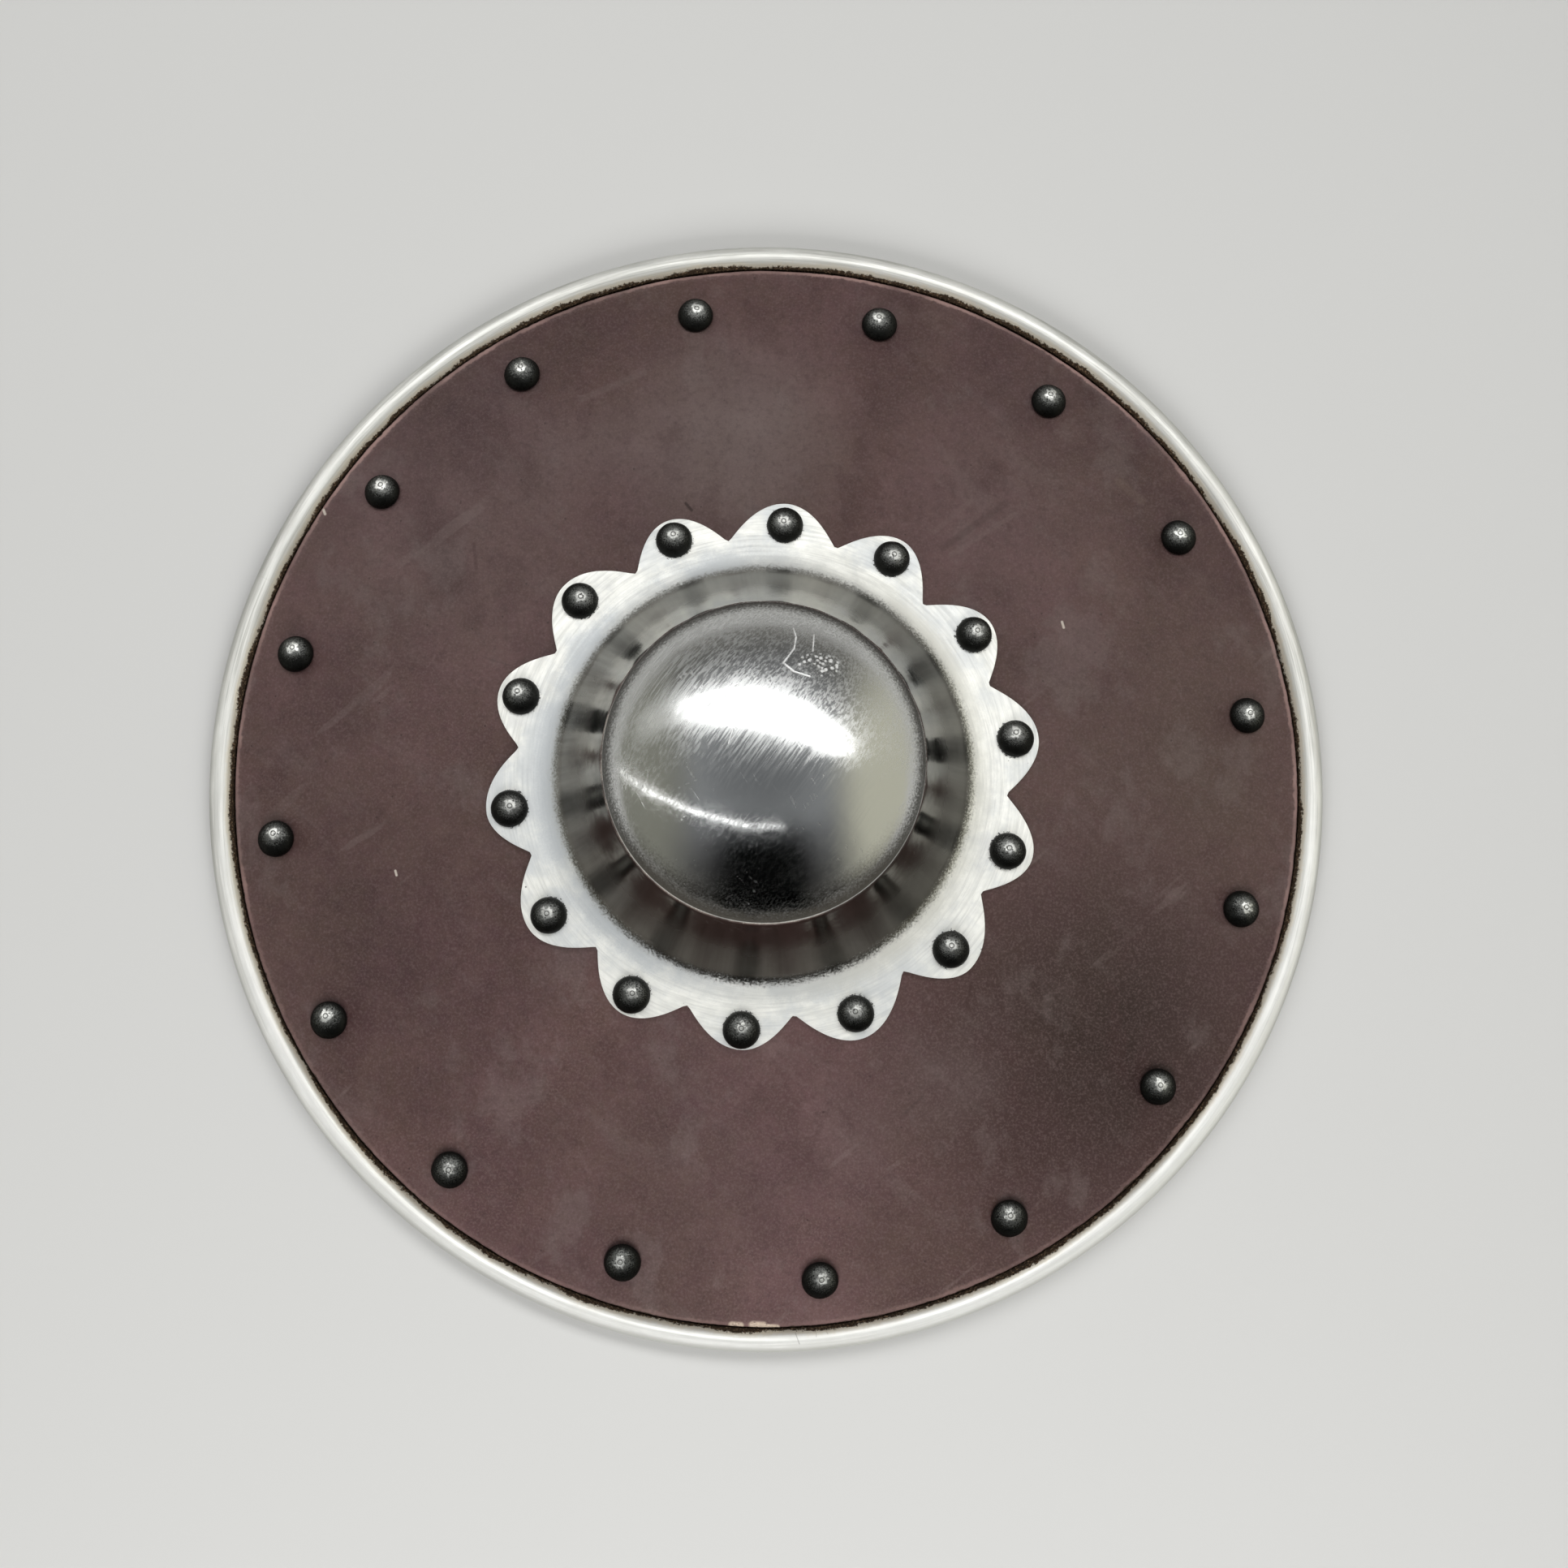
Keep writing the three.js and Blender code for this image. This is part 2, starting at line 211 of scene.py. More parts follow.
# Small helpers for materials
class Field:
    # a node's output, so that the sums of a material read as plain arithmetic
    def __init__(self, node, output=0):
        self.tree, self.socket = node.id_data, node.outputs[output]

    def __add__(self, other):
        return calc("ADD", self, other)

    def __sub__(self, other):
        return calc("SUBTRACT", self, other)

    def __rsub__(self, other):
        return calc("SUBTRACT", other, self)

    def __mul__(self, other):
        return calc("MULTIPLY", self, other)

    def __truediv__(self, other):
        return calc("DIVIDE", self, other)


def give(socket, value):
    if isinstance(value, Field):
        value.tree.links.new(value.socket, socket)
    elif socket.type == "RGBA":
        socket.default_value = (*value, 1)
    else:
        socket.default_value = value


def put(tree, kind, inputs=None, **settings):
    node = tree.nodes.new("ShaderNode" + kind)
    for key, value in settings.items():
        setattr(node, key, value)
    for key, value in (inputs or {}).items():
        give(node.inputs[key], value)
    return node


def calc(operation, a, b=0.0, clamp=False):
    tree = a.tree if isinstance(a, Field) else b.tree
    return Field(put(tree, "Math", {0: a, 1: b}, operation=operation, use_clamp=clamp))


def vectorMath(operation, a, b=None):
    inputs = {0: a} if b is None else {0: a, 1: b}
    node = put(a.tree, "VectorMath", inputs, operation=operation)
    return Field(node, "Value" if operation in ("LENGTH", "DISTANCE", "DOT_PRODUCT") else "Vector")


def span(value, low, high, toLow=0.0, toHigh=1.0):
    # goes softly from one number to the other while the value goes from low to high
    inputs = {"Value": value, "From Min": low, "From Max": high, "To Min": toLow, "To Max": toHigh}
    return Field(put(value.tree, "MapRange", inputs, interpolation_type="SMOOTHSTEP"), "Result")


def blend(share, a, b):
    return Field(put(share.tree, "Mix", {0: share, 6: a, 7: b}, data_type="RGBA"), 2)


def coat(tone, settings, **shares):
    # lays colours of the settings over a tone one after the other, each by its share
    for name, share in shares.items():
        tone = blend(share, tone, settings[name])
    return tone


def blendNumbers(share, a, b):
    return Field(put(share.tree, "Mix", {0: share, 2: a, 3: b}, data_type="FLOAT"))


def noiseAt(vector, scale, detail=2.0, roughness=0.5):
    inputs = {"Vector": vector, "Scale": scale, "Detail": detail, "Roughness": roughness}
    return Field(put(vector.tree, "TexNoise", inputs), "Fac")


def bump(height, strength, distance, normal=None):
    inputs = {"Height": height, "Strength": strength, "Distance": distance * mm}
    if normal:
        inputs["Normal"] = normal
    return Field(put(height.tree, "Bump", inputs), "Normal")


def partsOf(vector):
    node = put(vector.tree, "SeparateXYZ", {0: vector})
    return [Field(node, index) for index in range(3)]


def vectorOf(x, y, z=0.0):
    return Field(put(x.tree, "CombineXYZ", {0: x, 1: y, 2: z}))


def planOf(vector):
    return vectorOf(*partsOf(vector)[:2])


def turned(vector, angle):
    inputs = {"Vector": vector, "Angle": angle}
    return Field(put(vector.tree, "VectorRotate", inputs, rotation_type="Z_AXIS"))


def placeOf(tree, centreX=0.0, centreY=0.0, turn=0.0):
    spot = Field(put(tree, "TexCoord"), "Object")
    if centreX == centreY == turn == 0.0:
        return spot
    centred = vectorMath("SUBTRACT", spot, (centreX * mm, centreY * mm, 0))
    return turned(centred, -turn) if turn else centred


def newMaterial(name):
    material = bpy.data.materials.new(name)
    material.use_nodes = True
    tree = material.node_tree
    tree.nodes.clear()
    shader = put(tree, "BsdfPrincipled")
    put(tree, "OutputMaterial", {"Surface": Field(shader)})
    return material, tree, shader


def feed(shader, **sources):
    names = {
        "colour": "Base Color", "roughness": "Roughness", "metallic": "Metallic",
        "normal": "Normal", "specular": "Specular IOR Level",
    }
    for key, value in sources.items():
        give(shader.inputs[names[key]], value)


def newGroup(name, **inputs):
    # every group takes a place, then numbers, or more vectors where a value is None
    tree = bpy.data.node_groups.new(name, "ShaderNodeTree")
    for label, value in {"Vector": None, **inputs}.items():
        kind = "NodeSocketVector" if value is None else "NodeSocketFloat"
        socket = tree.interface.new_socket(label, in_out="INPUT", socket_type=kind)
        if value is not None:
            socket.default_value = value
    given = tree.nodes.new("NodeGroupInput")
    return [Field(given, index) for index in range(1 + len(inputs))]


def closeGroup(**results):
    tree = list(results.values())[0].tree
    for label in results:
        tree.interface.new_socket(label, in_out="OUTPUT", socket_type="NodeSocketFloat")
    made = tree.nodes.new("NodeGroupOutput")
    for label, value in results.items():
        give(made.inputs[label], value)
    return tree


def useGroup(group, vector, **inputs):
    # gives the group's one output, or a list where it has more
    node = put(vector.tree, "Group", {"Vector": vector, **inputs}, node_tree=group)
    fields = [Field(node, index) for index in range(len(node.outputs))]
    return fields[0] if len(fields) == 1 else fields


# Shared effects
def ringMarksGroup():
    # brush lines that run round an axis, from noise stretched along the turn
    spot, fineness, turns = newGroup("ringMarks", Fineness=900.0, Turns=3.0)
    flat = planOf(spot)
    radius = vectorMath("LENGTH", flat)
    wayX, wayY, _ = partsOf(vectorMath("NORMALIZE", flat))
    rise = partsOf(spot)[2] * fineness * 0.8
    along = vectorOf(wayX * turns, wayY * turns, radius * fineness + rise)
    return closeGroup(Lines=noiseAt(along, 1.0, 4.0, 0.65), Radius=radius)


def layAlong(spot, turn, length):
    # turned and squeezed in one direction, in which noise then comes out as lines
    return vectorMath("MULTIPLY", turned(spot, turn), vectorOf(length, 1.0, 1.0))


def scratchesGroup():
    # thin straight scratches in one direction, broken up by a coarser noise
    spot, turn, scale, length, amount = newGroup("scratches", Turn=0.0, Scale=300.0, Length=0.04, Amount=0.5)
    thin = noiseAt(layAlong(spot, turn, length), scale, 2.0, 0.6)
    edge = 0.78 - amount * 0.16
    patches = span(noiseAt(spot, scale * 0.12, 1.0), 0.45, 0.62)
    return closeGroup(Mask=span(thin, edge, edge + 0.05) * patches)


def grainGroup():
    # fine parallel brush lines in one direction
    spot, turn, fineness, length = newGroup("grain", Turn=0.0, Fineness=1500.0, Length=0.05)
    return closeGroup(Lines=noiseAt(layAlong(spot, turn, length), fineness, 3.0, 0.6))


def mottleGroup():
    # cloudy variation at a large and a small scale
    spot, large, small, share = newGroup("mottle", Large=14.0, Small=90.0, Share=0.35)
    broad = span(noiseAt(spot, large, 3.0, 0.55), 0.3, 0.7)
    close = span(noiseAt(spot, small, 5.0, 0.62), 0.3, 0.7)
    return closeGroup(Value=blendNumbers(share, broad, close))


def specksGroup():
    # small round spots, of which only a share shows
    spot, scale, size, share = newGroup("specks", Scale=200.0, Size=0.16, Share=0.1)
    cells = put(spot.tree, "TexVoronoi", {"Vector": spot, "Scale": scale, "Randomness": 1.0})
    dot = span(Field(cells, "Distance"), size, size * 0.5)
    chosen = partsOf(Field(cells, "Color"))[0]
    return closeGroup(Mask=dot * calc("LESS_THAN", chosen, share))


def strokeGroup():
    # one straight mark between two points of the plan, thinning out at its edges
    spot, start, end, width = newGroup("stroke", Start=None, End=None, Width=0.0004)
    toPoint = vectorMath("SUBTRACT", vectorMath("MULTIPLY", spot, (1, 1, 0)), start)
    toEnd = vectorMath("SUBTRACT", end, start)
    along, whole = vectorMath("DOT_PRODUCT", toPoint, toEnd), vectorMath("DOT_PRODUCT", toEnd, toEnd)
    share = calc("DIVIDE", along, whole, clamp=True)
    foot = Field(put(spot.tree, "VectorMath", {0: toEnd, "Scale": share}, operation="SCALE"))
    return closeGroup(Mask=span(vectorMath("DISTANCE", toPoint, foot), width, width * 0.35))


ringMarks = ringMarksGroup()
scratches = scratchesGroup()
grain = grainGroup()
mottle = mottleGroup()
specks = specksGroup()
stroke = strokeGroup()


def markAt(spot, start, end, width):
    ends = {label: (x * mm, y * mm, 0) for label, (x, y) in (("Start", start), ("End", end))}
    return useGroup(stroke, spot, Width=width * mm, **ends)


def marksTogether(spot, marks):
    together = markAt(spot, *marks[0])
    for mark in marks[1:]:
        together = calc("MAXIMUM", together, markAt(spot, *mark))
    return together


# Steel body with its rolled edge
bodySettings = {
    "steps": 320, "beadSteps": 30, "dishRings": 30, "waver": 0.2,
    "bright": (0.96, 0.955, 0.91), "dull": (0.76, 0.76, 0.72), "brushed": (0.50, 0.495, 0.465),
    "streaked": (0.40, 0.395, 0.365), "shaded": (0.30, 0.30, 0.28), "wiped": (1.0, 1.0, 0.97),
    "flank": (0.37, 0.37, 0.345), "clouded": (0.60, 0.59, 0.54), "nick": (0.12, 0.11, 0.10),
    "ochre": (0.60, 0.50, 0.34), "stain": (0.030, 0.020, 0.013), "crumb": (0.17, 0.115, 0.07),
    # fine cuts across the bead: ends and width in mm, strength
    "nicks": (
        ((8.3, -168.9), (9.5, -172.0), 0.22, 0.45),
        ((14.5, -168.8), (14.6, -169.9), 0.2, 0.35),
        ((17.1, -167.6), (18.1, -169.1), 0.2, 0.35),
    ),
}


def bodySteel():
    settings = bodySettings
    material, tree, shader = newMaterial("brushedBodySteel")
    spot = placeOf(tree)
    lines, radius = useGroup(ringMarks, spot, Fineness=1500, Turns=5)
    coarse = useGroup(ringMarks, spot, Fineness=420, Turns=9)[0]
    streaks = useGroup(ringMarks, spot, Fineness=850, Turns=3)[0]
    clouds = useGroup(mottle, spot, Large=22, Small=160, Share=0.4)
    cross = useGroup(scratches, spot, Turn=0.5, Scale=420, Length=0.05, Amount=0.35)
    _, upward, height = partsOf(spot)
    rising = upward / radius
    # dye and old polish fill the gap beside the leather up to a ragged edge, with an ochre tint beyond
    front = span(height, 0.0006, 0.0014) * span(radius, 0.1664, 0.1669)
    crumbs = (noiseAt(spot, 900, 5, 0.75) - 0.5) * 0.0022
    spread = (noiseAt(spot, 42, 3, 0.6) - 0.47) * 0.0030
    dyeEdge = radius - span(rising, -0.5, -0.9, 0.0, 0.0006) + (crumbs - spread)
    stained = span(dyeEdge, 0.16825, 0.16785) * front
    tinted = span(dyeEdge, 0.1697, 0.1681) * front * 0.45
    # painted shade and painted light: the bead is painted darker towards the top and lighter towards the
    # bottom
    below = span(rising, 0.8, -0.9)
    # painted shade: the bead's flanks are painted duller than its crown
    inside, outside = span(radius, 0.1710, 0.1680, 0.0, 0.75), span(radius, 0.1728, 0.1746, 0.0, 0.7)
    tone = coat(
        blend(span(coarse, 0.3, 0.72), settings["dull"], settings["bright"]), settings,
        brushed=span(lines, 0.42, 0.68, 0.0, 0.6),
        streaked=span(streaks, 0.50, 0.66, 0.0, 0.65),
        shaded=span(below, 0.0, 1.0, 0.16, 0.0),
        wiped=span(below, 0.2, 1.0, 0.0, 0.6),
        flank=calc("MAXIMUM", inside, outside) * span(radius, 0.1662, 0.1672),
    )
    for start, end, width, share in settings["nicks"]:
        tone = coat(tone, settings, nick=markAt(spot, start, end, width) * share)
    tone = coat(tone, settings, clouded=clouds * 0.3, ochre=tinted)
    dirt = blend(span(noiseAt(spot, 1300, 4, 0.7), 0.52, 0.66), settings["stain"], settings["crumb"])
    tone = blend(stained, tone, dirt)
    rough = span(streaks, 0.3, 0.7, 0.30, 0.46) + span(radius, 0.1662, 0.1672, 0.0, 0.10) + clouds * 0.05
    rough = calc("ADD", rough, stained * 0.5, clamp=True)
    # the bead was left with a dull satin skin, so it scatters more than the polished steel does
    metal = span(radius, 0.1662, 0.1672, 1.0, 0.5) * (1 - stained)
    normal = bump(lines, 0.45, 0.1)
    normal = bump(crumbs * (stained * 300) + cross * -0.4, 0.5, 0.15, normal)
    feed(shader, colour=tone, roughness=rough, metallic=metal, normal=normal, specular=0.1)
    return material


def makeBody():
    bm = bmesh.new()
    centre = (shield["beadCentre"] * mm, 0, shield["beadRadius"] * mm)
    startAngle = math.radians(-105)
    reach = shield["beadRadius"] * mm
    start = (centre[0] + reach * math.cos(startAngle), 0, centre[2] + reach * math.sin(startAngle))
    arcChain(bm, start, centre, math.radians(300), bodySettings["beadSteps"])
    line(bm, start, (shield["handHole"] * mm, 0, 0), bodySettings["dishRings"])
    for vert in bm.verts:  # only the dish, which is the low part inside the bead
        if vert.co.x < start[0] - 1e-6 and vert.co.z < start[2] + 1e-6:
            vert.co.z = bodyHeight(vert.co.x / mm) * mm
    fullSpin(bm, bodySettings["steps"])
    for vert in bm.verts:
        radius = vert.co.xy.length / mm
        angle = math.atan2(vert.co.y, vert.co.x)
        if radius < 100:
            shiftHole(vert, radius)
            vert.co.z = bodyHeight(vert.co.xy.length / mm) * mm
        elif radius > 166 and vert.co.z > 3 * mm:  # the curl was closed by hand, so its inner side wanders
            waver = roundNoise(angle, 5, 3.7) + 0.6 * roundNoise(angle, 17, 9.1)
            tight = 0.7 * lowerSide(angle)
            share = smooth((shield["beadCentre"] + 1.5 - radius) / 3.5) * smooth((vert.co.z / mm - 3) / 2)
            vert.co.xy *= 1 + (waver * bodySettings["waver"] + tight) * share / radius
    piece = finishMesh(bm, "steelBody", bodySteel(), outerFaceInwards)
    addSolidify(piece, shield["sheet"])
    addBevel(piece, 0.3)
    seat(piece, "steel_body")


# Leather face
leatherSettings = {
    "innerRadius": 64, "outerRadius": 166.8, "edgeRound": 0.6, "steps": 420, "rings": 44,
    "dimple": 0.3, "dimpleInner": 4.5, "dimpleReach": 9.5, "swell": 0.12, "ripple": 0.18,
    "light": (0.126, 0.069, 0.069), "dark": (0.050, 0.025, 0.027), "olive": (0.080, 0.052, 0.036),
    "redBlotch": (0.048, 0.022, 0.022), "greyBlotch": (0.155, 0.122, 0.115),
    "paleStreak": (0.185, 0.15, 0.14), "darkStreak": (0.052, 0.030, 0.029),
    "grainTop": (0.19, 0.135, 0.13), "grainDip": (0.040, 0.024, 0.022), "pit": (0.035, 0.022, 0.02),
    "rubbed": (0.19, 0.145, 0.135), "scuffed": (0.05, 0.034, 0.032), "lint": (0.5, 0.44, 0.4),
    "worn": (0.30, 0.19, 0.17), "cut": (0.028, 0.018, 0.012),
    "hide": (0.30, 0.22, 0.16), "torn": (0.62, 0.52, 0.42),
    # creases, pale nicks and dark dye marks: ends and width in mm, strength, colour
    "marks": (
        ((54.8, 72.8), (75.2, 88.0), 1.6, 0.3, (0.045, 0.028, 0.026)),
        ((57.5, 70.5), (78.0, 84.5), 1.3, 0.2, (0.17, 0.125, 0.115)),
        ((52.0, 78.0), (64.0, 88.5), 1.2, 0.16, (0.17, 0.125, 0.115)),
        ((92.2, 49.4), (92.7, 47.6), 0.55, 0.9, (0.52, 0.46, 0.40)),
        ((-141.8, 86.4), (-141.2, 85.0), 0.6, 0.85, (0.50, 0.44, 0.38)),
        ((-115.1, -29.2), (-114.7, -30.6), 0.5, 0.9, (0.52, 0.46, 0.40)),
        ((-26.2, 86.8), (-24.4, 84.6), 0.7, 0.8, (0.030, 0.018, 0.016)),
        ((-0.6, 83.4), (1.0, 81.8), 0.7, 0.7, (0.030, 0.018, 0.016)),
        ((62.2, -63.6), (60.6, -70.6), 0.6, 0.55, (0.035, 0.018, 0.016)),
        ((41.0, -103.5), (47.0, -98.0), 0.5, 0.35, (0.040, 0.026, 0.024)),
        ((-93.0, 74.0), (-92.0, 66.0), 0.8, 0.35, (0.045, 0.020, 0.020)),
        ((112.0, 96.0), (119.0, 90.0), 2.2, 0.25, (0.15, 0.105, 0.085)),
        ((-60.0, 122.0), (-40.0, 131.0), 1.6, 0.2, (0.17, 0.13, 0.12)),
    ),
    # broad patches are painted sheen on the upper side, painted light at the bottom and painted shade at the
    # right and lower right; small ones are where the hide took its dye unevenly: place and reach in mm,
    # strength, colour
    "patches": (
        ((100, -82), 112, 1.0, (0.020, 0.011, 0.009)),
        ((-15, -125), 70, 0.2, (0.115, 0.066, 0.070)),
        ((138, 10), 60, 0.65, (0.055, 0.036, 0.027)),
        ((-100, 85), 70, 0.45, (0.130, 0.085, 0.083)),
        ((70, 95), 60, 0.4, (0.128, 0.082, 0.080)),
        ((-12, 108), 50, 0.85, (0.165, 0.127, 0.118)),
        ((-106, 78), 17, 0.6, (0.045, 0.022, 0.022)),
        ((-100, 62), 13, 0.6, (0.045, 0.022, 0.022)),
        ((-66, 104), 24, 0.25, (0.17, 0.13, 0.125)),
        ((-48, 109), 20, 0.2, (0.17, 0.13, 0.125)),
        ((52, -95), 24, 0.2, (0.15, 0.115, 0.11)),
        ((62, -92), 18, 0.15, (0.15, 0.115, 0.11)),
        ((24, -110), 22, 0.15, (0.15, 0.115, 0.11)),
        ((76, -112), 24, 0.3, (0.035, 0.016, 0.015)),
    ),
    # strokes in mm that together make two chips at the lower edge, which show the pale inside of the hide
    "chips": (
        ((-10.9, -166.75), (-8.4, -166.95), 1.5),
        ((-4.6, -166.8), (-1.4, -166.95), 1.7),
        ((-1.4, -166.95), (2.9, -167.35), 1.0),
    ),
}


def leatherDye(spot, flat, clouds):
    # the colour that the dye and later wiping left, before wear, with painted sheen and painted shade in
    # broad patches
    settings = leatherSettings
    cast = useGroup(mottle, placeOf(spot.tree, 400, 90), Large=24, Small=210, Share=0.45)
    tone = coat(blend(clouds, settings["dark"], settings["light"]), settings, olive=cast * 0.5)
    # broad patches here are painted sheen and painted shade, small ones uneven dye
    for (x, y), reach, share, colour in settings["patches"]:
        apart = vectorMath("DISTANCE", flat, (x * mm, y * mm, 0))
        uneven = span(apart, reach * mm, 0.0) * span(clouds, 0.0, 1.0, 0.6, 1.0)
        tone = blend(uneven * share, tone, colour)
    # blotches of dye with ragged edges, darker and redder, and rubbed greyer ones between them
    blotch = noiseAt(vectorMath("MULTIPLY", spot, (1.0, 0.7, 1.0)), 48, 6, 0.62)
    # wiping left soft streaks that lean down to the right
    wiped = noiseAt(vectorMath("MULTIPLY", placeOf(spot.tree, turn=-0.7), (30.0, 90.0, 60.0)), 1, 6, 0.66)
    tone = coat(
        tone, settings,
        redBlotch=span(blotch, 0.53, 0.64, 0.0, 0.32),
        greyBlotch=span(blotch, 0.45, 0.34, 0.0, 0.25),
        paleStreak=span(wiped, 0.52, 0.70, 0.0, 0.13),
        darkStreak=span(wiped, 0.46, 0.30, 0.0, 0.12),
    )
    return tone, cast


def leatherSurface():
    settings = leatherSettings
    material, tree, shader = newMaterial("mauveLeather")
    spot = placeOf(tree)
    flat = planOf(spot)
    radius = vectorMath("LENGTH", flat)
    rising = partsOf(spot)[1] / radius
    clouds = useGroup(mottle, spot, Large=11, Small=70, Share=0.3)
    pebble = noiseAt(spot, 1400, 5, 0.6)
    pores = Field(put(tree, "TexVoronoi", {"Vector": spot, "Scale": 1100}), "Distance")
    rubbed = useGroup(scratches, spot, Turn=-0.7, Scale=160, Length=0.12, Amount=0.8)
    scuffed = useGroup(scratches, spot, Turn=0.35, Scale=330, Length=0.07, Amount=0.5)
    pits = useGroup(specks, spot, Scale=420, Size=0.18, Share=0.05)
    lint = useGroup(specks, spot, Scale=130, Size=0.05, Share=0.012)
    # the edge is worn pale in a broken line, stronger on the upper side, which is partly a painted highlight
    # on its rounded edge, and beyond it the cut side is dark
    ragged = (noiseAt(spot, 260, 4, 0.7) - 0.5) * 0.0022
    edge = radius + ragged - span(rising, -0.5, -0.9, 0.0, 0.0005)
    wornShare = span(noiseAt(spot, 34, 3, 0.6), 0.36, 0.66, 0.25, 1.0) * span(rising, 0.2, -0.7, 0.85, 0.3)
    worn = span(edge, 0.1652, 0.1660) * span(edge, 0.1671, 0.1666) * wornShare
    cutSide = span(edge, 0.1666, 0.1670)
    tone, cast = leatherDye(spot, flat, clouds)
    tone = coat(
        tone, settings,
        grainTop=span(pebble, 0.42, 0.72, 0.0, 0.30),
        grainDip=span(noiseAt(spot, 520, 4, 0.7), 0.55, 0.30, 0.0, 0.30),
        rubbed=rubbed * 0.22, scuffed=scuffed * 0.25, pit=pits * 0.55, worn=worn, cut=cutSide,
    )
    for start, end, width, share, colour in settings["marks"]:
        tone = blend(markAt(spot, start, end, width) * share, tone, colour)
    chipped = marksTogether(spot, settings["chips"]) * span(noiseAt(spot, 1000, 5, 0.75), 0.36, 0.46)
    tone = blend(chipped, tone, blend(noiseAt(spot, 1500, 3, 0.6), settings["hide"], settings["torn"]))
    tone = coat(tone, settings, lint=lint * 0.8)
    rough = span(cast, 0.0, 1.0, 0.60, 0.46) + span(pebble, 0.3, 0.7, -0.03, 0.05) + cutSide * 0.3
    normal = bump(noiseAt(spot, 120, 3, 0.55), 0.22, 0.35)
    normal = bump(pebble + pores * 0.5, 0.25, 0.08, normal)
    normal = bump(pits + scuffed * 0.5, 0.35, -0.12, normal)
    feed(shader, colour=tone, roughness=rough, normal=normal, specular=0.36)
    return material


def makeLeather():
    settings = leatherSettings
    bm = bmesh.new()
    inner, outer = settings["innerRadius"] * mm, settings["outerRadius"] * mm
    section = (inner, leatherUnder), (outer, leatherUnder), (outer, leatherTop), (inner, leatherTop)
    corners = [bm.verts.new((x, 0, z * mm)) for x, z in section]
    bm.faces.new(corners)
    bmesh.ops.bevel(
        bm, geom=[corners[2]], offset=settings["edgeRound"] * mm, offset_type="OFFSET", segments=5,
        profile=0.5, affect="VERTICES", material=-1,
    )
    longEdges = [e for e in bm.edges if abs(e.verts[0].co.x - e.verts[1].co.x) > 0.05]
    bmesh.ops.subdivide_edges(bm, edges=longEdges, cuts=settings["rings"])
    bmesh.ops.delete(bm, geom=bm.faces[:], context="FACES_ONLY")
    for vert in bm.verts:
        vert.co.z = bodyHeight(vert.co.x / mm, vert.co.z / mm) * mm
    fullSpin(bm, settings["steps"])
    places = [Vector(faceRivetPlace(index)) for index in range(shield["faceRivets"])]
    for vert in bm.verts:
        flat = vert.co.xy / mm
        angle = math.atan2(flat.y, flat.x)
        radius = flat.length
        offset = math.hypot(radius, vert.co.z / mm - shield["rise"] + bodyCurve) - bodyCurve
        if radius < 95:
            shiftHole(vert, radius)
        if radius > 160:  # cut by hand a little off the true circle
            wander = roundNoise(angle, 3, 1.3) * 0.5 + roundNoise(angle, 14, 5.3) * 0.22
            wander = wander * 0.6 + 0.1 + 0.5 * lowerSide(angle)
            vert.co.xy *= 1 + wander * smooth((radius - 160) / 5) / radius
        if offset > leatherTop - 0.6:  # pressed down a little round the face rivets
            near = min((flat - place).length for place in places)
            dimpleWidth = settings["dimpleReach"] - settings["dimpleInner"]
            press = settings["dimple"] * (1 - smooth((near - settings["dimpleInner"]) / dimpleWidth))
            swell = settings["swell"] * smooth(1 - abs(near - 11) / 4)
            ripple = noise.noise(Vector((flat.x, flat.y, 0)) * 0.035) * settings["ripple"]
            vert.co.z += (swell + ripple - press) * mm
    piece = finishMesh(bm, "leatherFace", leatherSurface())
    seat(piece, "leather_face")


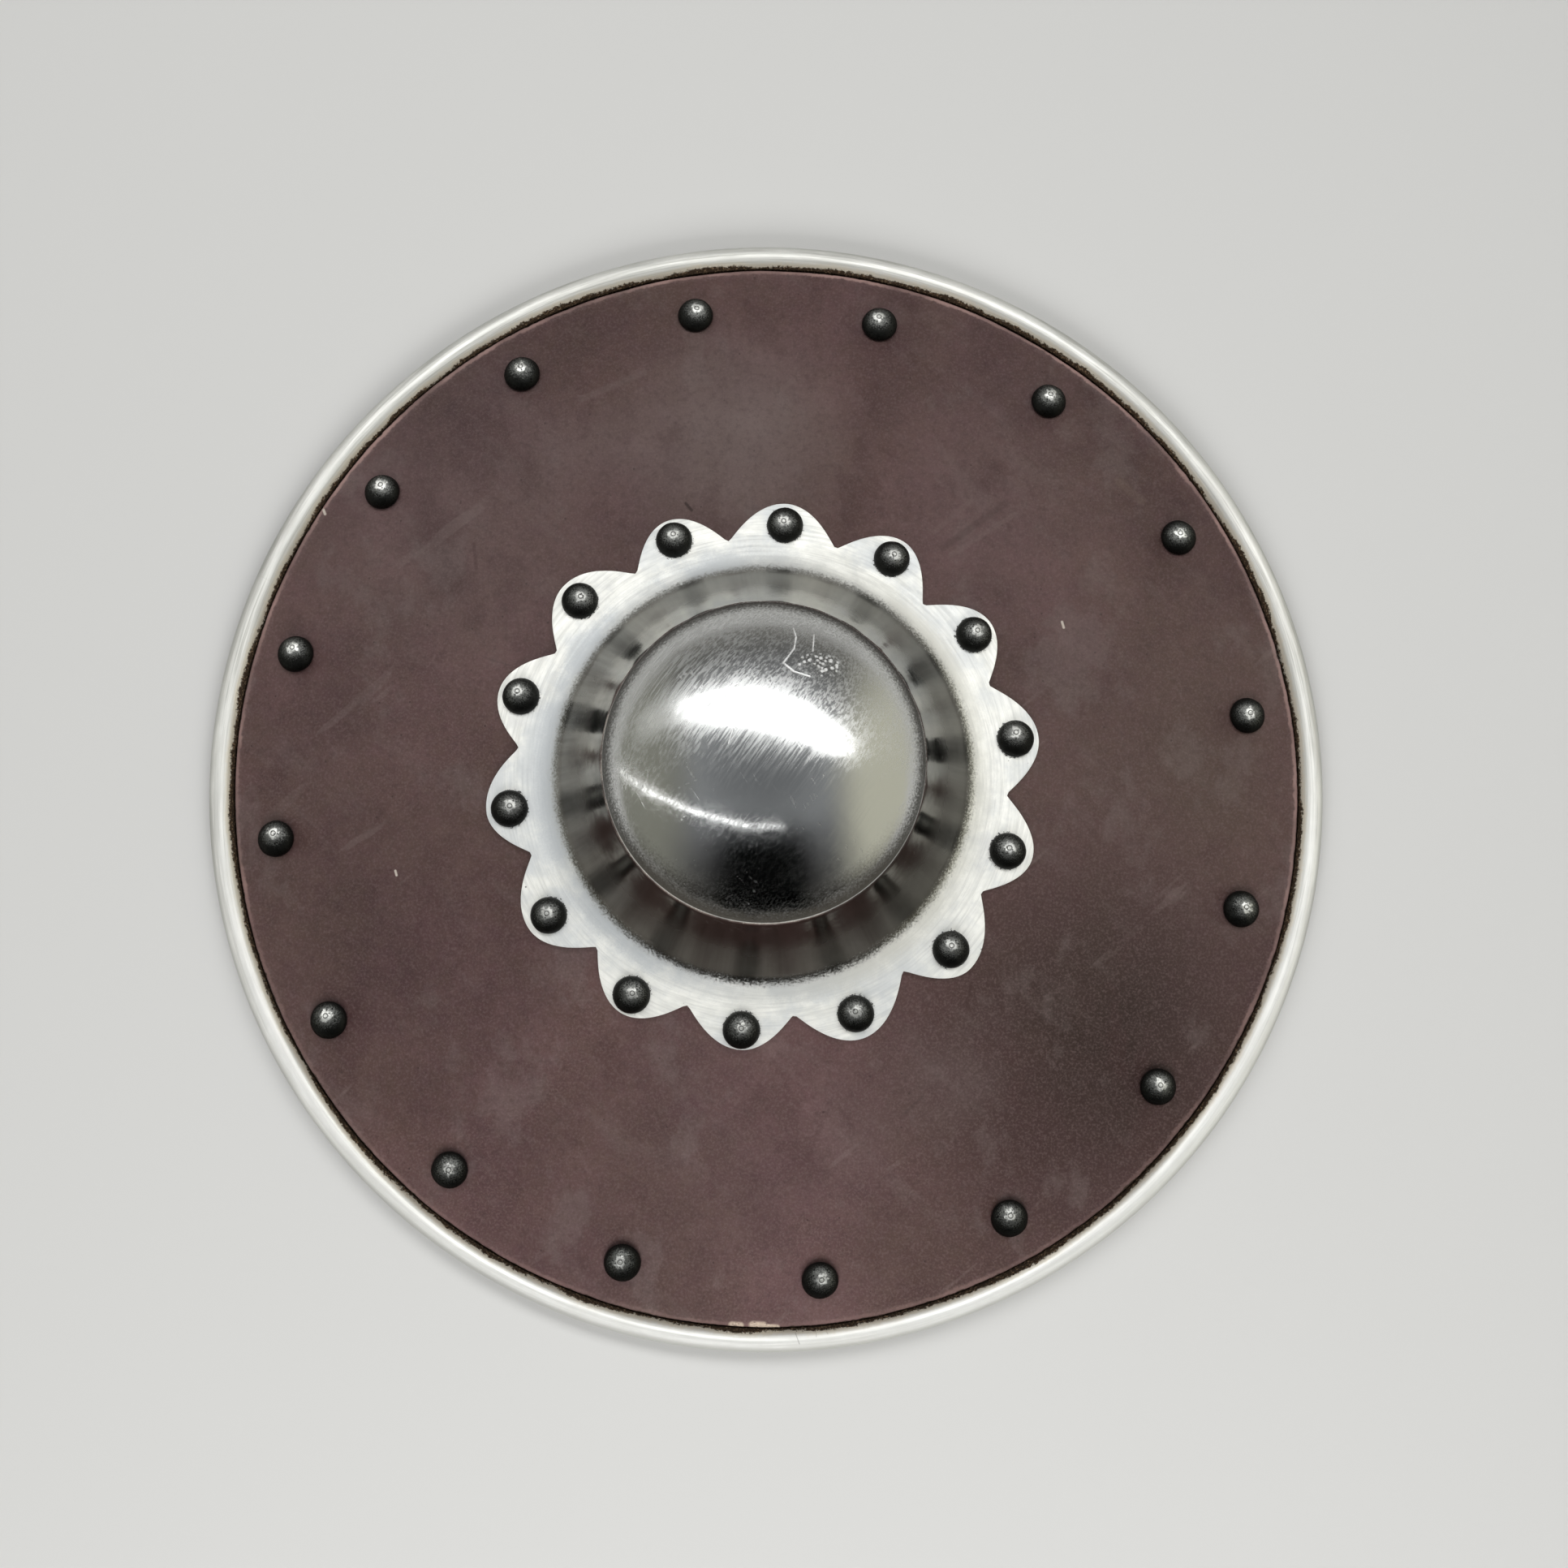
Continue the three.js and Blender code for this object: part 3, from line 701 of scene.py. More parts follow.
# Boss
bossSettings = {
    "flangeInner": 71.5, "lobeTip": 85.6, "lobeWave": 0.45, "notch": 74.2, "wallRun": 23.5,
    "wallStartSlope": 54, "wallEndSlope": 65, "creaseHeight": 28, "creaseRound": 0.55, "domeRise": 22,
    "sheet": 1.5, "lobeSteps": 30,
    # how far each tip and notch of the real flange lies outside an even layout, and how far the notch is
    # turned, going clockwise from the top
    "tipReach": (0.1, 0.4, 0.0, -0.2, 0.5, 1.1, 1.6, 0.8, -0.8, -0.4, 0.6, 0.5, 0.5, 0.5),
    "notchReach": (0.0, 0.5, -1.3, 1.2, 1.2, 2.0, 0.1, 0.5, 0.6, -0.4, 1.1, 1.9, 0.4, 0.3),
    "notchTurn": (0.6, 0.1, 0.3, 0.9, -0.1, 1.8, 1.3, -0.9, -0.4, -0.1, -1.6, -1.2, 0.1, -1.4),
    "dome": (0.64, 0.645, 0.635), "marked": (0.94, 0.94, 0.93),
    "polishLeft": (0.07, 0.067, 0.06), "domeFoot": (0.085, 0.076, 0.062), "crease": (1.0, 0.96, 0.88),
    "wall": (0.33, 0.325, 0.305), "wallSmudge": (0.165, 0.161, 0.149), "wallLines": (0.42, 0.415, 0.38),
    "wallBelow": (0.125, 0.108, 0.088), "wallAbove": (0.52, 0.515, 0.48), "wallRight": (0.12, 0.118, 0.108),
    "flange": (0.97, 0.965, 0.91), "flangeDull": (0.83, 0.83, 0.78), "flangeLines": (0.58, 0.58, 0.55),
    "flangeCool": (0.56, 0.59, 0.61), "flangeSmudge": (0.58, 0.59, 0.595),
    "footLeft": (0.55, 0.575, 0.59), "footRight": (0.70, 0.69, 0.63),
    "dyeSpeck": (0.05, 0.045, 0.04), "dyeCrumb": (0.010, 0.009, 0.008),
    # on the dome: a cut line, and fine lines across the crown, with ends and width in mm from its middle
    "strokes": (
        ((8.5, 38.0), (9.2, 35.0), 0.3),
        ((9.2, 35.0), (8.6, 31.0), 0.34),
        ((8.6, 31.0), (5.4, 26.2), 0.34),
        ((5.4, 26.2), (8.4, 23.6), 0.4),
        ((8.4, 23.6), (13.0, 22.2), 0.34),
        ((14.5, 36.0), (14.0, 30.4), 0.28),
        ((-9.6, 10.6), (-9.0, 6.4), 0.17),
        ((-9.0, 6.4), (-10.2, 2.2), 0.17),
        ((-16.6, 13.0), (-13.4, 15.6), 0.17),
        ((-13.4, 15.6), (-10.4, 16.2), 0.15),
    ),
}


def bossWallTone(spot, smudges):
    settings = bossSettings
    rightward, upward, _ = partsOf(spot)
    lines = useGroup(ringMarks, spot, Fineness=330, Turns=2.5)[0]
    # painted light and shade: the wall is painted lighter on its upper side and darker below and to the
    # right
    return coat(
        blend(span(smudges, 0.3, 0.7), settings["wallSmudge"], settings["wall"]), settings,
        wallLines=span(lines, 0.46, 0.70, 0.0, 0.5),
        wallBelow=span(upward, 0.01, -0.05, 0.0, 0.6),
        wallAbove=span(upward, 0.02, 0.055, 0.0, 0.35),
        wallRight=span(rightward, 0.02, 0.055, 0.0, 0.6),
    )


def bossFlangeTone(spot, edge, lines, smudges):
    settings = bossSettings
    coarse = useGroup(ringMarks, spot, Fineness=300, Turns=10)[0]
    cool = useGroup(mottle, placeOf(spot.tree, 70, 310), Large=26, Small=90, Share=0.35)
    tone = coat(
        blend(span(coarse, 0.3, 0.7), settings["flangeDull"], settings["flange"]), settings,
        flangeLines=span(lines, 0.42, 0.66, 0.0, 0.4),
        flangeCool=span(cool, 0.4, 0.85) * 0.6,
        flangeSmudge=span(smudges, 0.5, 0.72, 0.0, 0.35),
    )
    # painted reflection: the flange is painted greyer towards its foot, most on one side, bluish on the left
    # and beige on the right
    footShare = span(edge, 0.0735, 0.0665) * span(cool, 0.2, 0.7, 0.25, 0.85)
    foot = blend(span(partsOf(spot)[0], -0.03, 0.05), settings["footLeft"], settings["footRight"])
    dye = useGroup(specks, spot, Scale=330, Size=0.12, Share=0.03)
    # dye stayed as crumbs round the rivets
    crumbs = (noiseAt(spot, 1100, 4, 0.75) - 0.5) * 0.0066
    fromRivet = Field(put(spot.tree, "Attribute", attribute_name="fromRivet"), "Fac")
    crumbShare = span(fromRivet + crumbs, 0.0054, 0.0052) * 0.9
    return coat(blend(footShare, tone, foot), settings, dyeSpeck=dye * 0.8, dyeCrumb=crumbShare)


def bossDirt(spot, radius, edge, tone):
    # painted dark reflection: the last of the dome where it meets the crease is painted dark, with painted
    # shade reaching widest below
    rightward, upward, _ = partsOf(spot)
    onDome = span(radius, 0.0478, 0.0475)
    polish = span(edge, 0.0436, 0.0470) * onDome
    below = span(upward, -0.012, -0.036) * (span(edge, 0.0395, 0.0455) * onDome)
    # painted highlight: the crease is painted bright at the lower left, in a broken line
    rubbed = span(radius, 0.0476, 0.0478) * span(radius, 0.0484, 0.0481)
    rubbed = rubbed * span(upward + rightward, 0.0, -0.045, 0.0, 0.8)
    rubbed = rubbed * span(noiseAt(spot, 130, 3, 0.6), 0.36, 0.6, 0.1, 1.0)
    # painted dark ring, painted shade below and a painted highlight on the crease
    tone = coat(tone, bossSettings, polishLeft=polish * 0.9, domeFoot=below * 0.75, crease=rubbed)
    return tone, rubbed


def bossSteel():
    settings = bossSettings
    material, tree, shader = newMaterial("polishedBossSteel")
    spot = placeOf(tree, shield["bossX"], shield["bossY"])
    upward = partsOf(spot)[1]
    lines, radius = useGroup(ringMarks, spot, Fineness=1300, Turns=4)
    smudges = useGroup(ringMarks, spot, Fineness=90, Turns=7)[0]
    streaks = useGroup(ringMarks, spot, Fineness=260, Turns=3)[0]
    clouds = useGroup(mottle, spot, Large=30, Small=170, Share=0.45)
    swirls = useGroup(scratches, spot, Turn=1.0, Scale=700, Length=0.06, Amount=0.9)
    swirls = swirls + useGroup(scratches, spot, Turn=-0.5, Scale=520, Length=0.05, Amount=0.7)
    brushed = useGroup(grain, spot, Turn=-0.95, Fineness=1700, Length=0.035)
    broad = useGroup(grain, spot, Turn=-0.55, Fineness=210, Length=0.12)
    edge = radius + (noiseAt(spot, 1500, 4, 0.75) - 0.5) * 0.008
    flange = span(edge, 0.0628, 0.0666)
    wall = span(radius, 0.0475, 0.0485) * (1 - flange)
    # a cut line with an etched cluster beside it
    cuts = marksTogether(spot, settings["strokes"]) * span(noiseAt(spot, 500, 3), 0.3, 0.5, 0.35, 1.0)
    etched = useGroup(specks, spot, Scale=760, Size=0.56, Share=0.92)
    toCluster = vectorMath("DISTANCE", vectorMath("MULTIPLY", spot, (1, 1.7, 0)), (0.0158, 0.0445, 0))
    marked = calc("MAXIMUM", cuts, etched * span(toCluster, 0.0072, 0.0052))
    tone = blend(wall, settings["dome"], bossWallTone(spot, smudges))
    tone, rubbed = bossDirt(spot, radius, edge, tone)
    tone = blend(flange, tone, bossFlangeTone(spot, edge, lines, smudges))
    tone = coat(tone, settings, marked=marked * 0.9)
    polished = span(brushed, 0.34, 0.66, 0.15, 0.33) + span(broad, 0.3, 0.7, -0.02, 0.06)
    # the lower half kept more of its polish
    polished = polished * (1 - span(upward, 0.004, -0.012) * 0.4) + swirls * 0.12
    wallRough = span(streaks, 0.3, 0.7, 0.09, 0.17) + span(radius, 0.0515, 0.0575, 0.0, 0.18)
    flangeRough = span(lines, 0.3, 0.7, 0.50, 0.62) + clouds * 0.05
    rough = blendNumbers(flange, blendNumbers(wall, polished, wallRough), flangeRough)
    rough = rough + (marked + rubbed * 0.4) * 0.35
    normal = bump(noiseAt(spot, 60, 3, 0.55), 0.4, 0.3)
    normal = bump(lines * flange + (brushed * 0.22 + broad * 0.25), 0.2, 0.05, normal)
    normal = bump(marked + swirls * 0.25, 0.5, -0.06, normal)
    feed(shader, colour=tone, roughness=rough, metallic=span(flange, 0.0, 1.0, 1.0, 0.5), normal=normal)
    return material


def solvePair(first, second):
    # two lengths from two sums: a * x + b * y = c
    base = first[0] * second[1] - first[1] * second[0]
    x = (first[2] * second[1] - first[1] * second[2]) / base
    return x, (first[0] * second[2] - first[2] * second[0]) / base


def lobeReach(angle):
    # distance from the boss's middle to the flange's outline in a direction
    settings = bossSettings
    count = shield["bossRivets"]
    spacing = math.tau / count
    turns = (shield["bossRivetStart"] - angle) / spacing
    index = math.floor(turns) % count
    share = turns - math.floor(turns)
    middle = 0.5 - settings["notchTurn"][index] / math.degrees(spacing)
    warped = 0.5 * share / middle if share < middle else 0.5 + 0.5 * (share - middle) / (1 - middle)
    wave = math.cos(math.pi * warped)
    swell = math.sqrt(wave**2 + 0.0025) - 0.05 + 0.05 * abs(wave)
    notch = settings["notch"] + settings["notchReach"][index]
    tip = settings["lobeTip"] + settings["tipReach"][(index + (warped > 0.5)) % count]
    tip += settings["lobeWave"] * roundNoise(angle, 4, 2.2)
    return notch + (tip - notch) * swell


def spinBoss(bm, foot, crease, domeCurve):
    # the section from the lobes' tips inwards over the wall to the dome's top, spun round
    settings = bossSettings
    inner = settings["flangeInner"]
    low, high = math.radians(settings["wallStartSlope"]), math.radians(settings["wallEndSlope"])
    # the fillet and the wall's long arc share a tangent, and together they reach the crease
    fillet, wallCurve = solvePair(
        (math.sin(low), math.sin(high) - math.sin(low), settings["wallRun"]),
        (1 - math.cos(low), math.cos(low) - math.cos(high), settings["creaseHeight"]),
    )
    flangeStart = (inner * mm, 0, foot * mm)
    line(bm, (settings["lobeTip"] * mm, 0, foot * mm), flangeStart, 9)
    arcChain(bm, flangeStart, (inner * mm, 0, (foot + fillet) * mm), -low, 11)
    wallStart = ((inner - fillet * math.sin(low)) * mm, 0, (foot + fillet * (1 - math.cos(low))) * mm)
    curveX, curveZ = wallCurve * math.sin(low) * mm, wallCurve * math.cos(low) * mm
    arcChain(bm, wallStart, (wallStart[0] + curveX, 0, wallStart[2] + curveZ), low - high, 12)
    top = foot + settings["creaseHeight"]
    domeCentre = (0, 0, (top + settings["domeRise"] - domeCurve) * mm)
    arcChain(bm, (crease * mm, 0, top * mm), domeCentre, math.asin(crease / domeCurve), 30)
    fullSpin(bm, shield["bossRivets"] * settings["lobeSteps"])
    bmesh.ops.remove_doubles(bm, verts=bm.verts, dist=1e-6)
    creaseEdges = [e for e in bm.edges if all(abs(v.co.xy.length - crease * mm) < 1e-5 for v in e.verts)]
    bmesh.ops.bevel(
        bm, geom=creaseEdges, offset=settings["creaseRound"] * mm, offset_type="OFFSET", segments=3,
        profile=0.5, affect="EDGES", material=-1,
    )
    return domeCentre


def makeBoss():
    settings = bossSettings
    bm = bmesh.new()
    inner = settings["flangeInner"]
    foot = bodyHeight(inner, flangeTop)
    crease = inner - settings["wallRun"]
    domeCurve = (crease**2 + settings["domeRise"] ** 2) / (2 * settings["domeRise"])
    domeCentre = spinBoss(bm, foot, crease, domeCurve)
    # for the material: how far each point of the flange lies from the nearest rivet
    fromRivet = bm.verts.layers.float.new("fromRivet")
    middle = Vector((shield["bossX"], shield["bossY"]))
    rivetPlaces = [Vector(bossRivetPlace(index)) - middle for index in range(shield["bossRivets"])]
    for vert in bm.verts:
        radius = vert.co.xy.length / mm
        vert[fromRivet] = 20 * mm
        if radius > inner + 0.01:
            outline = lobeReach(math.atan2(vert.co.y, vert.co.x))
            share = (radius - inner) / (settings["lobeTip"] - inner)
            vert.co.xy *= (inner + share * (outline - inner)) / radius
            vert.co.z = bodyHeight(vert.co.xy.length / mm, flangeTop) * mm
            vert[fromRivet] = min((vert.co.xy / mm - place).length for place in rivetPlaces) * mm
        elif radius < inner - 6:  # raised and planished by hand, so never quite true
            uneven = noise.noise(vert.co * 45) * 0.16 + noise.noise(vert.co * 110) * 0.05
            away = Vector((vert.co.x, vert.co.y, max(0.0, vert.co.z - domeCentre[2]))).normalized()
            vert.co += away * uneven * smooth((inner - 6 - radius) / 6) * mm
    bmesh.ops.translate(bm, verts=bm.verts, vec=(shield["bossX"] * mm, shield["bossY"] * mm, 0))
    piece = finishMesh(bm, "boss", bossSteel(), topFaceDown)
    addSolidify(piece, settings["sheet"])
    addBevel(piece, 0.32)
    seat(piece, "boss")


# Rivets
rivetSettings = {
    "head": 5.7, "headHeight": 3.8, "shank": 2.5, "tail": 4.2, "tailHeight": 1.8, "sides": 32,
    "uneven": 0.16, "outOfRound": 0.03, "dents": 7,
    "dark": (0.008, 0.008, 0.0075), "mid": (0.04, 0.041, 0.038), "halo": (0.22, 0.223, 0.21),
    "bright": (0.80, 0.80, 0.76), "ring": (0.10, 0.10, 0.094),
}


def rivetSteel():
    settings = rivetSettings
    material, tree, shader = newMaterial("blackenedRivetSteel")
    fromCrown = Field(put(tree, "Attribute", attribute_name="fromCrown"), "Vector")
    spot = placeOf(tree)
    apart = vectorMath("LENGTH", planOf(fromCrown))
    blotch = noiseAt(spot, 700, 4, 0.7)
    fine = noiseAt(spot, 2600, 4, 0.7)
    pits = useGroup(specks, spot, Scale=1250, Size=0.4, Share=0.4)
    speckled = apart + (fine - 0.5) * 0.0075
    blotched = apart + (blotch - 0.5) * 0.0048
    front = span(partsOf(fromCrown)[2], 0.0004, 0.0016)
    halo = span(speckled, 0.0044, 0.0016) * front
    # the boss rivets were rubbed less than those in the face
    rubbed = span(vectorMath("LENGTH", spot), 0.095, 0.140, 0.6, 1.0)
    worn = span(blotched, 0.0021, 0.0011) * front * rubbed
    ring = span(apart, 0.00045, 0.00062) * span(apart, 0.00095, 0.00078)
    tone = coat(
        blend(blotch, settings["dark"], settings["mid"]), settings,
        halo=halo * 0.75, bright=worn, dark=pits * 0.7, ring=ring * front * 0.75,
    )
    rough = span(fine, 0.3, 0.7, 0.42, 0.62) + worn * -0.05
    normal = bump(fine * 0.4 - (pits + ring) * 0.7, 0.75, 0.16)
    feed(shader, colour=tone, roughness=rough, metallic=1.0, normal=normal)
    return material


rivetFinish = rivetSteel()


def makeRivet(name, node, place, top, back, seed):
    settings = rivetSettings
    chance = random.Random(seed)
    grip = top - back + 2 * shield["gap"]
    head = settings["head"] * chance.uniform(0.985, 1.015)
    height = settings["headHeight"] * chance.uniform(0.94, 1.02)
    shank, tail = settings["shank"] * mm, settings["tail"] * mm
    bm = bmesh.new()
    arcChain(bm, (head * mm, 0, 0), (0, 0, 0), math.pi / 2, 11)
    for vert in bm.verts:
        vert.co.z *= height / head
    line(bm, (head * mm, 0, 0), (shank, 0, 0))
    line(bm, (shank, 0, 0), (shank, 0, -grip * mm))
    line(bm, (shank, 0, -grip * mm), (tail, 0, -grip * mm))
    before = set(bm.verts)
    arcChain(bm, (tail, 0, 0), (0, 0, 0), -math.pi / 2, 6)
    for vert in set(bm.verts) - before:
        vert.co.z = vert.co.z * settings["tailHeight"] / settings["tail"] - grip * mm
    fullSpin(bm, settings["sides"])
    bmesh.ops.remove_doubles(bm, verts=bm.verts, dist=1e-6)
    spin = chance.uniform(0, math.tau)
    crownAt = Vector((chance.uniform(-0.7, 0.7), chance.uniform(0.2, 1.5), 0))
    fromCrown = bm.verts.layers.float_vector.new("fromCrown")
    dents = []
    for _ in range(settings["dents"]):
        at = Vector((chance.uniform(-3.4, 3.4), chance.uniform(-3.4, 3.4), 0))
        dents.append((at, chance.uniform(0.9, 1.9), chance.uniform(0.06, 0.17)))
    for vert in bm.verts:
        local = vert.co / mm
        flat = Vector((local.x, local.y, 0))
        if local.z > 0:  # the head was hammered, so it has flat dents and is a little out of round
            sink = sum(depth * smooth(1 - (flat - at).length / reach) for at, reach, depth in dents)
            uneven = noise.noise(flat * 0.55 + Vector((seed * 3.1, 0, 0))) * settings["uneven"]
            vert.co.z += (uneven - sink) * smooth(local.z / 1.2) * mm
            angle = math.atan2(local.y, local.x) + spin
            vert.co.xy *= 1 + settings["outOfRound"] * roundNoise(angle, 1, seed)
        vert[fromCrown] = (local - crownAt) * mm
    foot, turn = rivetSeat(*place, top + shield["gap"])
    bm.transform(Matrix.Translation(foot * mm) @ turn.to_matrix().to_4x4())
    piece = finishMesh(bm, name, rivetFinish)
    seat(piece, node)


def makeRivets():
    strapBack = -shield["gap"] - gripSettings["thickness"]
    for index in range(shield["bossRivets"]):
        # two opposite rivets also hold the grip's bar
        back = strapBack if index in (1, 1 + shield["bossRivets"] // 2) else 0
        name, node = f"bossRivet{index + 1:02d}", f"boss_rivet_{index + 1:02d}"
        makeRivet(name, node, bossRivetPlace(index), flangeTop, back, 11 + index)
    for index in range(shield["faceRivets"]):
        name, node = f"faceRivet{index + 1:02d}", f"face_rivet_{index + 1:02d}"
        makeRivet(name, node, faceRivetPlace(index), leatherTop, 0, 41 + index)


# Grip behind the shield: an iron bar, two wooden scales and their pins
gripSettings = {
    "thickness": 3, "width": 20, "halfLength": 88, "bend": 60, "bridge": 51, "height": 17.5,
    "scaleHalf": 48, "scaleWidth": 26, "scaleThickness": 11, "pin": 2, "pinReach": 31,
    "iron": (0.10, 0.098, 0.092), "ironDark": (0.065, 0.062, 0.057), "filed": (0.26, 0.255, 0.24),
    "rust": (0.05, 0.03, 0.018),
    "woodLight": (0.26, 0.13, 0.058), "woodDark": (0.09, 0.04, 0.018), "woodWarm": (0.17, 0.08, 0.034),
    "woodPore": (0.03, 0.013, 0.007), "handled": (0.10, 0.05, 0.025),
}
gripTurn = bossRivetAngle(1)
gripMiddle = Vector((shield["bossX"], shield["bossY"], 0)) * mm
gripPlace = Matrix.Translation(gripMiddle) @ Matrix.Rotation(gripTurn, 4, "Z")


def darkIron():
    settings = gripSettings
    material, tree, shader = newMaterial("oiledDarkIron")
    spot = placeOf(tree)
    clouds = useGroup(mottle, spot, Large=60, Small=400, Share=0.5)
    fine = noiseAt(spot, 1500, 4, 0.65)
    filed = useGroup(scratches, spot, Turn=0.1, Scale=520, Length=0.06, Amount=0.8)
    pits = useGroup(specks, spot, Scale=700, Size=0.2, Share=0.15)
    tone = blend(clouds, settings["ironDark"], settings["iron"])
    tone = coat(tone, settings, filed=filed * 0.5, rust=pits * 0.6)
    rough = span(clouds, 0.0, 1.0, 0.36, 0.5) + pits * 0.2
    normal = bump(fine * 0.5 - pits, 0.3, 0.12)
    feed(shader, colour=tone, roughness=rough, metallic=0.9, normal=normal)
    return material


def gripWood():
    settings = gripSettings
    material, tree, shader = newMaterial("oiledGripWood")
    spot = placeOf(tree, shield["bossX"], shield["bossY"], gripTurn)
    laid = Field(put(tree, "Mapping", {"Vector": spot, "Scale": (6.0, 70.0, 70.0)}))
    fibres = Field(put(tree, "Mapping", {"Vector": spot, "Scale": (160.0, 2600.0, 2600.0)}))
    warp = noiseAt(laid, 1, 3, 0.55)
    waves = {"Vector": laid, "Scale": 1.6, "Distortion": 7.0, "Detail": 3.0, "Detail Scale": 1.4}
    rings = Field(put(tree, "TexWave", waves, wave_type="BANDS", bands_direction="Y"), "Fac")
    pore = span(noiseAt(fibres, 1, 2, 0.6), 0.62, 0.70)
    handled = useGroup(mottle, spot, Large=40, Small=200, Share=0.3)
    tone = blend(span(rings, 0.1, 0.9), settings["woodDark"], settings["woodLight"])
    tone = coat(tone, settings, woodWarm=warp * 0.5, woodPore=pore * 0.75, handled=handled * 0.3)
    rough = span(handled, 0.0, 1.0, 0.36, 0.52) + pore * 0.2
    normal = bump(rings * 0.25 - pore, 0.35, 0.14)
    feed(shader, colour=tone, roughness=rough, normal=normal)
    return material


ironFinish = darkIron()
woodFinish = gripWood()


def barTop(x):
    # height of the bar's upper face: flat under the body at both ends, bridged in the middle
    settings = gripSettings
    circle, bend = shield["bossRivetCircle"], settings["bend"]
    seatHeight = bodyHeight(circle, -shield["gap"])
    if abs(x) >= bend:
        return seatHeight - circle / bodyCurve * (abs(x) - circle)
    tabEnd = seatHeight - circle / bodyCurve * (bend - circle)
    bridge = settings["height"] + settings["thickness"] / 2
    return tabEnd + (bridge - tabEnd) * smooth((bend - abs(x)) / (bend - settings["bridge"]))


def makeStrap():
    settings = gripSettings
    bm = bmesh.new()
    bmesh.ops.create_grid(bm, x_segments=132, y_segments=12, size=1.0)
    half, across = settings["halfLength"], settings["width"] / 2
    for vert in bm.verts:
        x = vert.co.x * half
        over = max(0.0, abs(x) - (half - across)) / across
        y = vert.co.y * across * math.sqrt(max(0.0, 1 - min(1.0, over) ** 2))
        forged = noise.noise(Vector((x * 0.06, vert.co.y, 4.0))) * 0.25
        vert.co = Vector((x, y * (1 + 0.02 * forged), barTop(x) + forged * 0.3 * (1 - over))) * mm
    bm.transform(gripPlace)
    piece = finishMesh(bm, "gripStrap", ironFinish, topFaceDown)
    addSolidify(piece, settings["thickness"])
    addBevel(piece, 0.5, 3)
    seat(piece, "grip_strap")


def makeScale(name, node, side):
    settings = gripSettings
    bm = bmesh.new()
    half, width, depth = settings["scaleHalf"], settings["scaleWidth"] / 2, settings["scaleThickness"]
    # a half round is filled, drawn out along the grip and cut into rings
    rim, centre, axis = [bm.verts.new((-half * mm, width * mm, 0))], (-half * mm, 0, 0), (1, 0, 0)
    bmesh.ops.spin(bm, geom=rim, cent=centre, axis=axis, angle=math.pi, steps=20, use_duplicate=False)
    bm.edges.new([v for v in bm.verts if abs(v.co.z) < 1e-7])
    bmesh.ops.edgeloop_fill(bm, edges=bm.edges[:])
    pulled = bmesh.ops.extrude_face_region(bm, geom=bm.faces[:], use_keep_orig=True)["geom"]
    farEnd = [g for g in pulled if isinstance(g, bmesh.types.BMVert)]
    bmesh.ops.translate(bm, verts=farEnd, vec=(2 * half * mm, 0, 0))
    longEdges = [e for e in bm.edges if abs(e.verts[0].co.x - e.verts[1].co.x) > half * mm]
    bmesh.ops.subdivide_edges(bm, edges=longEdges, cuts=26, use_grid_fill=True)
    flat = settings["height"] + side * (settings["thickness"] / 2 + shield["gap"])
    for vert in bm.verts:
        x, y, z = vert.co / mm
        end = abs(x) / half
        slim = 1 - 0.16 * end**3 - 0.22 * smooth((end - 0.9) / 0.1)
        x *= 1 - 0.012 * (abs(z) / depth)
        z = z / width * depth
        vert.co = Vector((x, y * (0.995 - 0.4 * (1 - slim)), flat + side * abs(z) * slim)) * mm
    bm.transform(gripPlace)
    piece = finishMesh(bm, name, woodFinish)
    addBevel(piece, 0.7, 3, 50)
    seat(piece, node)


def makePin(name, node, x):
    settings = gripSettings
    reach = settings["thickness"] / 2 + shield["gap"] + settings["scaleThickness"]
    bm = bmesh.new()
    radius = settings["pin"] * mm
    arcChain(bm, (radius, 0, 0), (0, 0, 0), math.pi / 2, 6)
    for vert in bm.verts:
        vert.co.z = vert.co.z * 0.4 + (reach - 0.6) * mm
    line(bm, (radius, 0, (reach - 0.6) * mm), (radius, 0, 0), 2)
    fullSpin(bm, 24)
    bmesh.ops.remove_doubles(bm, verts=bm.verts, dist=1e-6)
    bmesh.ops.mirror(bm, geom=bm.verts[:] + bm.edges[:] + bm.faces[:], axis="Z", merge_dist=1e-6)
    bm.transform(gripPlace @ Matrix.Translation(Vector((x, 0, settings["height"])) * mm))
    piece = finishMesh(bm, name, ironFinish)
    seat(piece, node)


# Studio: a pale floor, soft lamps and a quiet room round them
studio = {
    "floor": (0.56, 0.557, 0.545), "floorSize": 9.0, "backdrop": (0.63, 0.627, 0.615),
    # what the metal mirrors, from the horizon up to straight overhead
    "sky": (
        (0.0, (0.20, 0.195, 0.18)),
        (0.14, (0.17, 0.165, 0.15)),
        (0.36, (0.13, 0.13, 0.128)),
        (0.6, (0.19, 0.193, 0.20)),
        (0.8, (0.275, 0.285, 0.295)),
        (1.0, (0.175, 0.182, 0.19)),
    ),
    "leftSide": (0.26, 0.26, 0.22), "rightSide": (0.62, 0.61, 0.50), "darkNear": (0.002, 0.002, 0.002),
    "broadLamp": {
        "left": (-0.98, 0.68, 0.76), "right": (0.98, 0.20, 0.82), "width": 0.35,
        "power": 7.0, "shape": "ELLIPSE", "mirrored": True,
    },
    "sideLamp": {
        "left": (-2.3, 0.85, 0.55), "right": (-0.85, 0.68, 0.78), "width": 0.42,
        "power": 0.85, "shape": "RECTANGLE", "mirrored": True,
    },
    "fillLamp": {
        "left": (-0.45, -0.85, 0.62), "right": (0.45, -0.85, 0.62), "width": 0.5,
        "power": 9.0, "shape": "RECTANGLE", "mirrored": False,
    },
    "thinLamp": {
        "left": (-1.0, 0.06, 0.10), "right": (0.17, -0.53, 0.83), "width": 0.02,
        "power": 0.34, "shape": "RECTANGLE", "mirrored": True,
    },
}


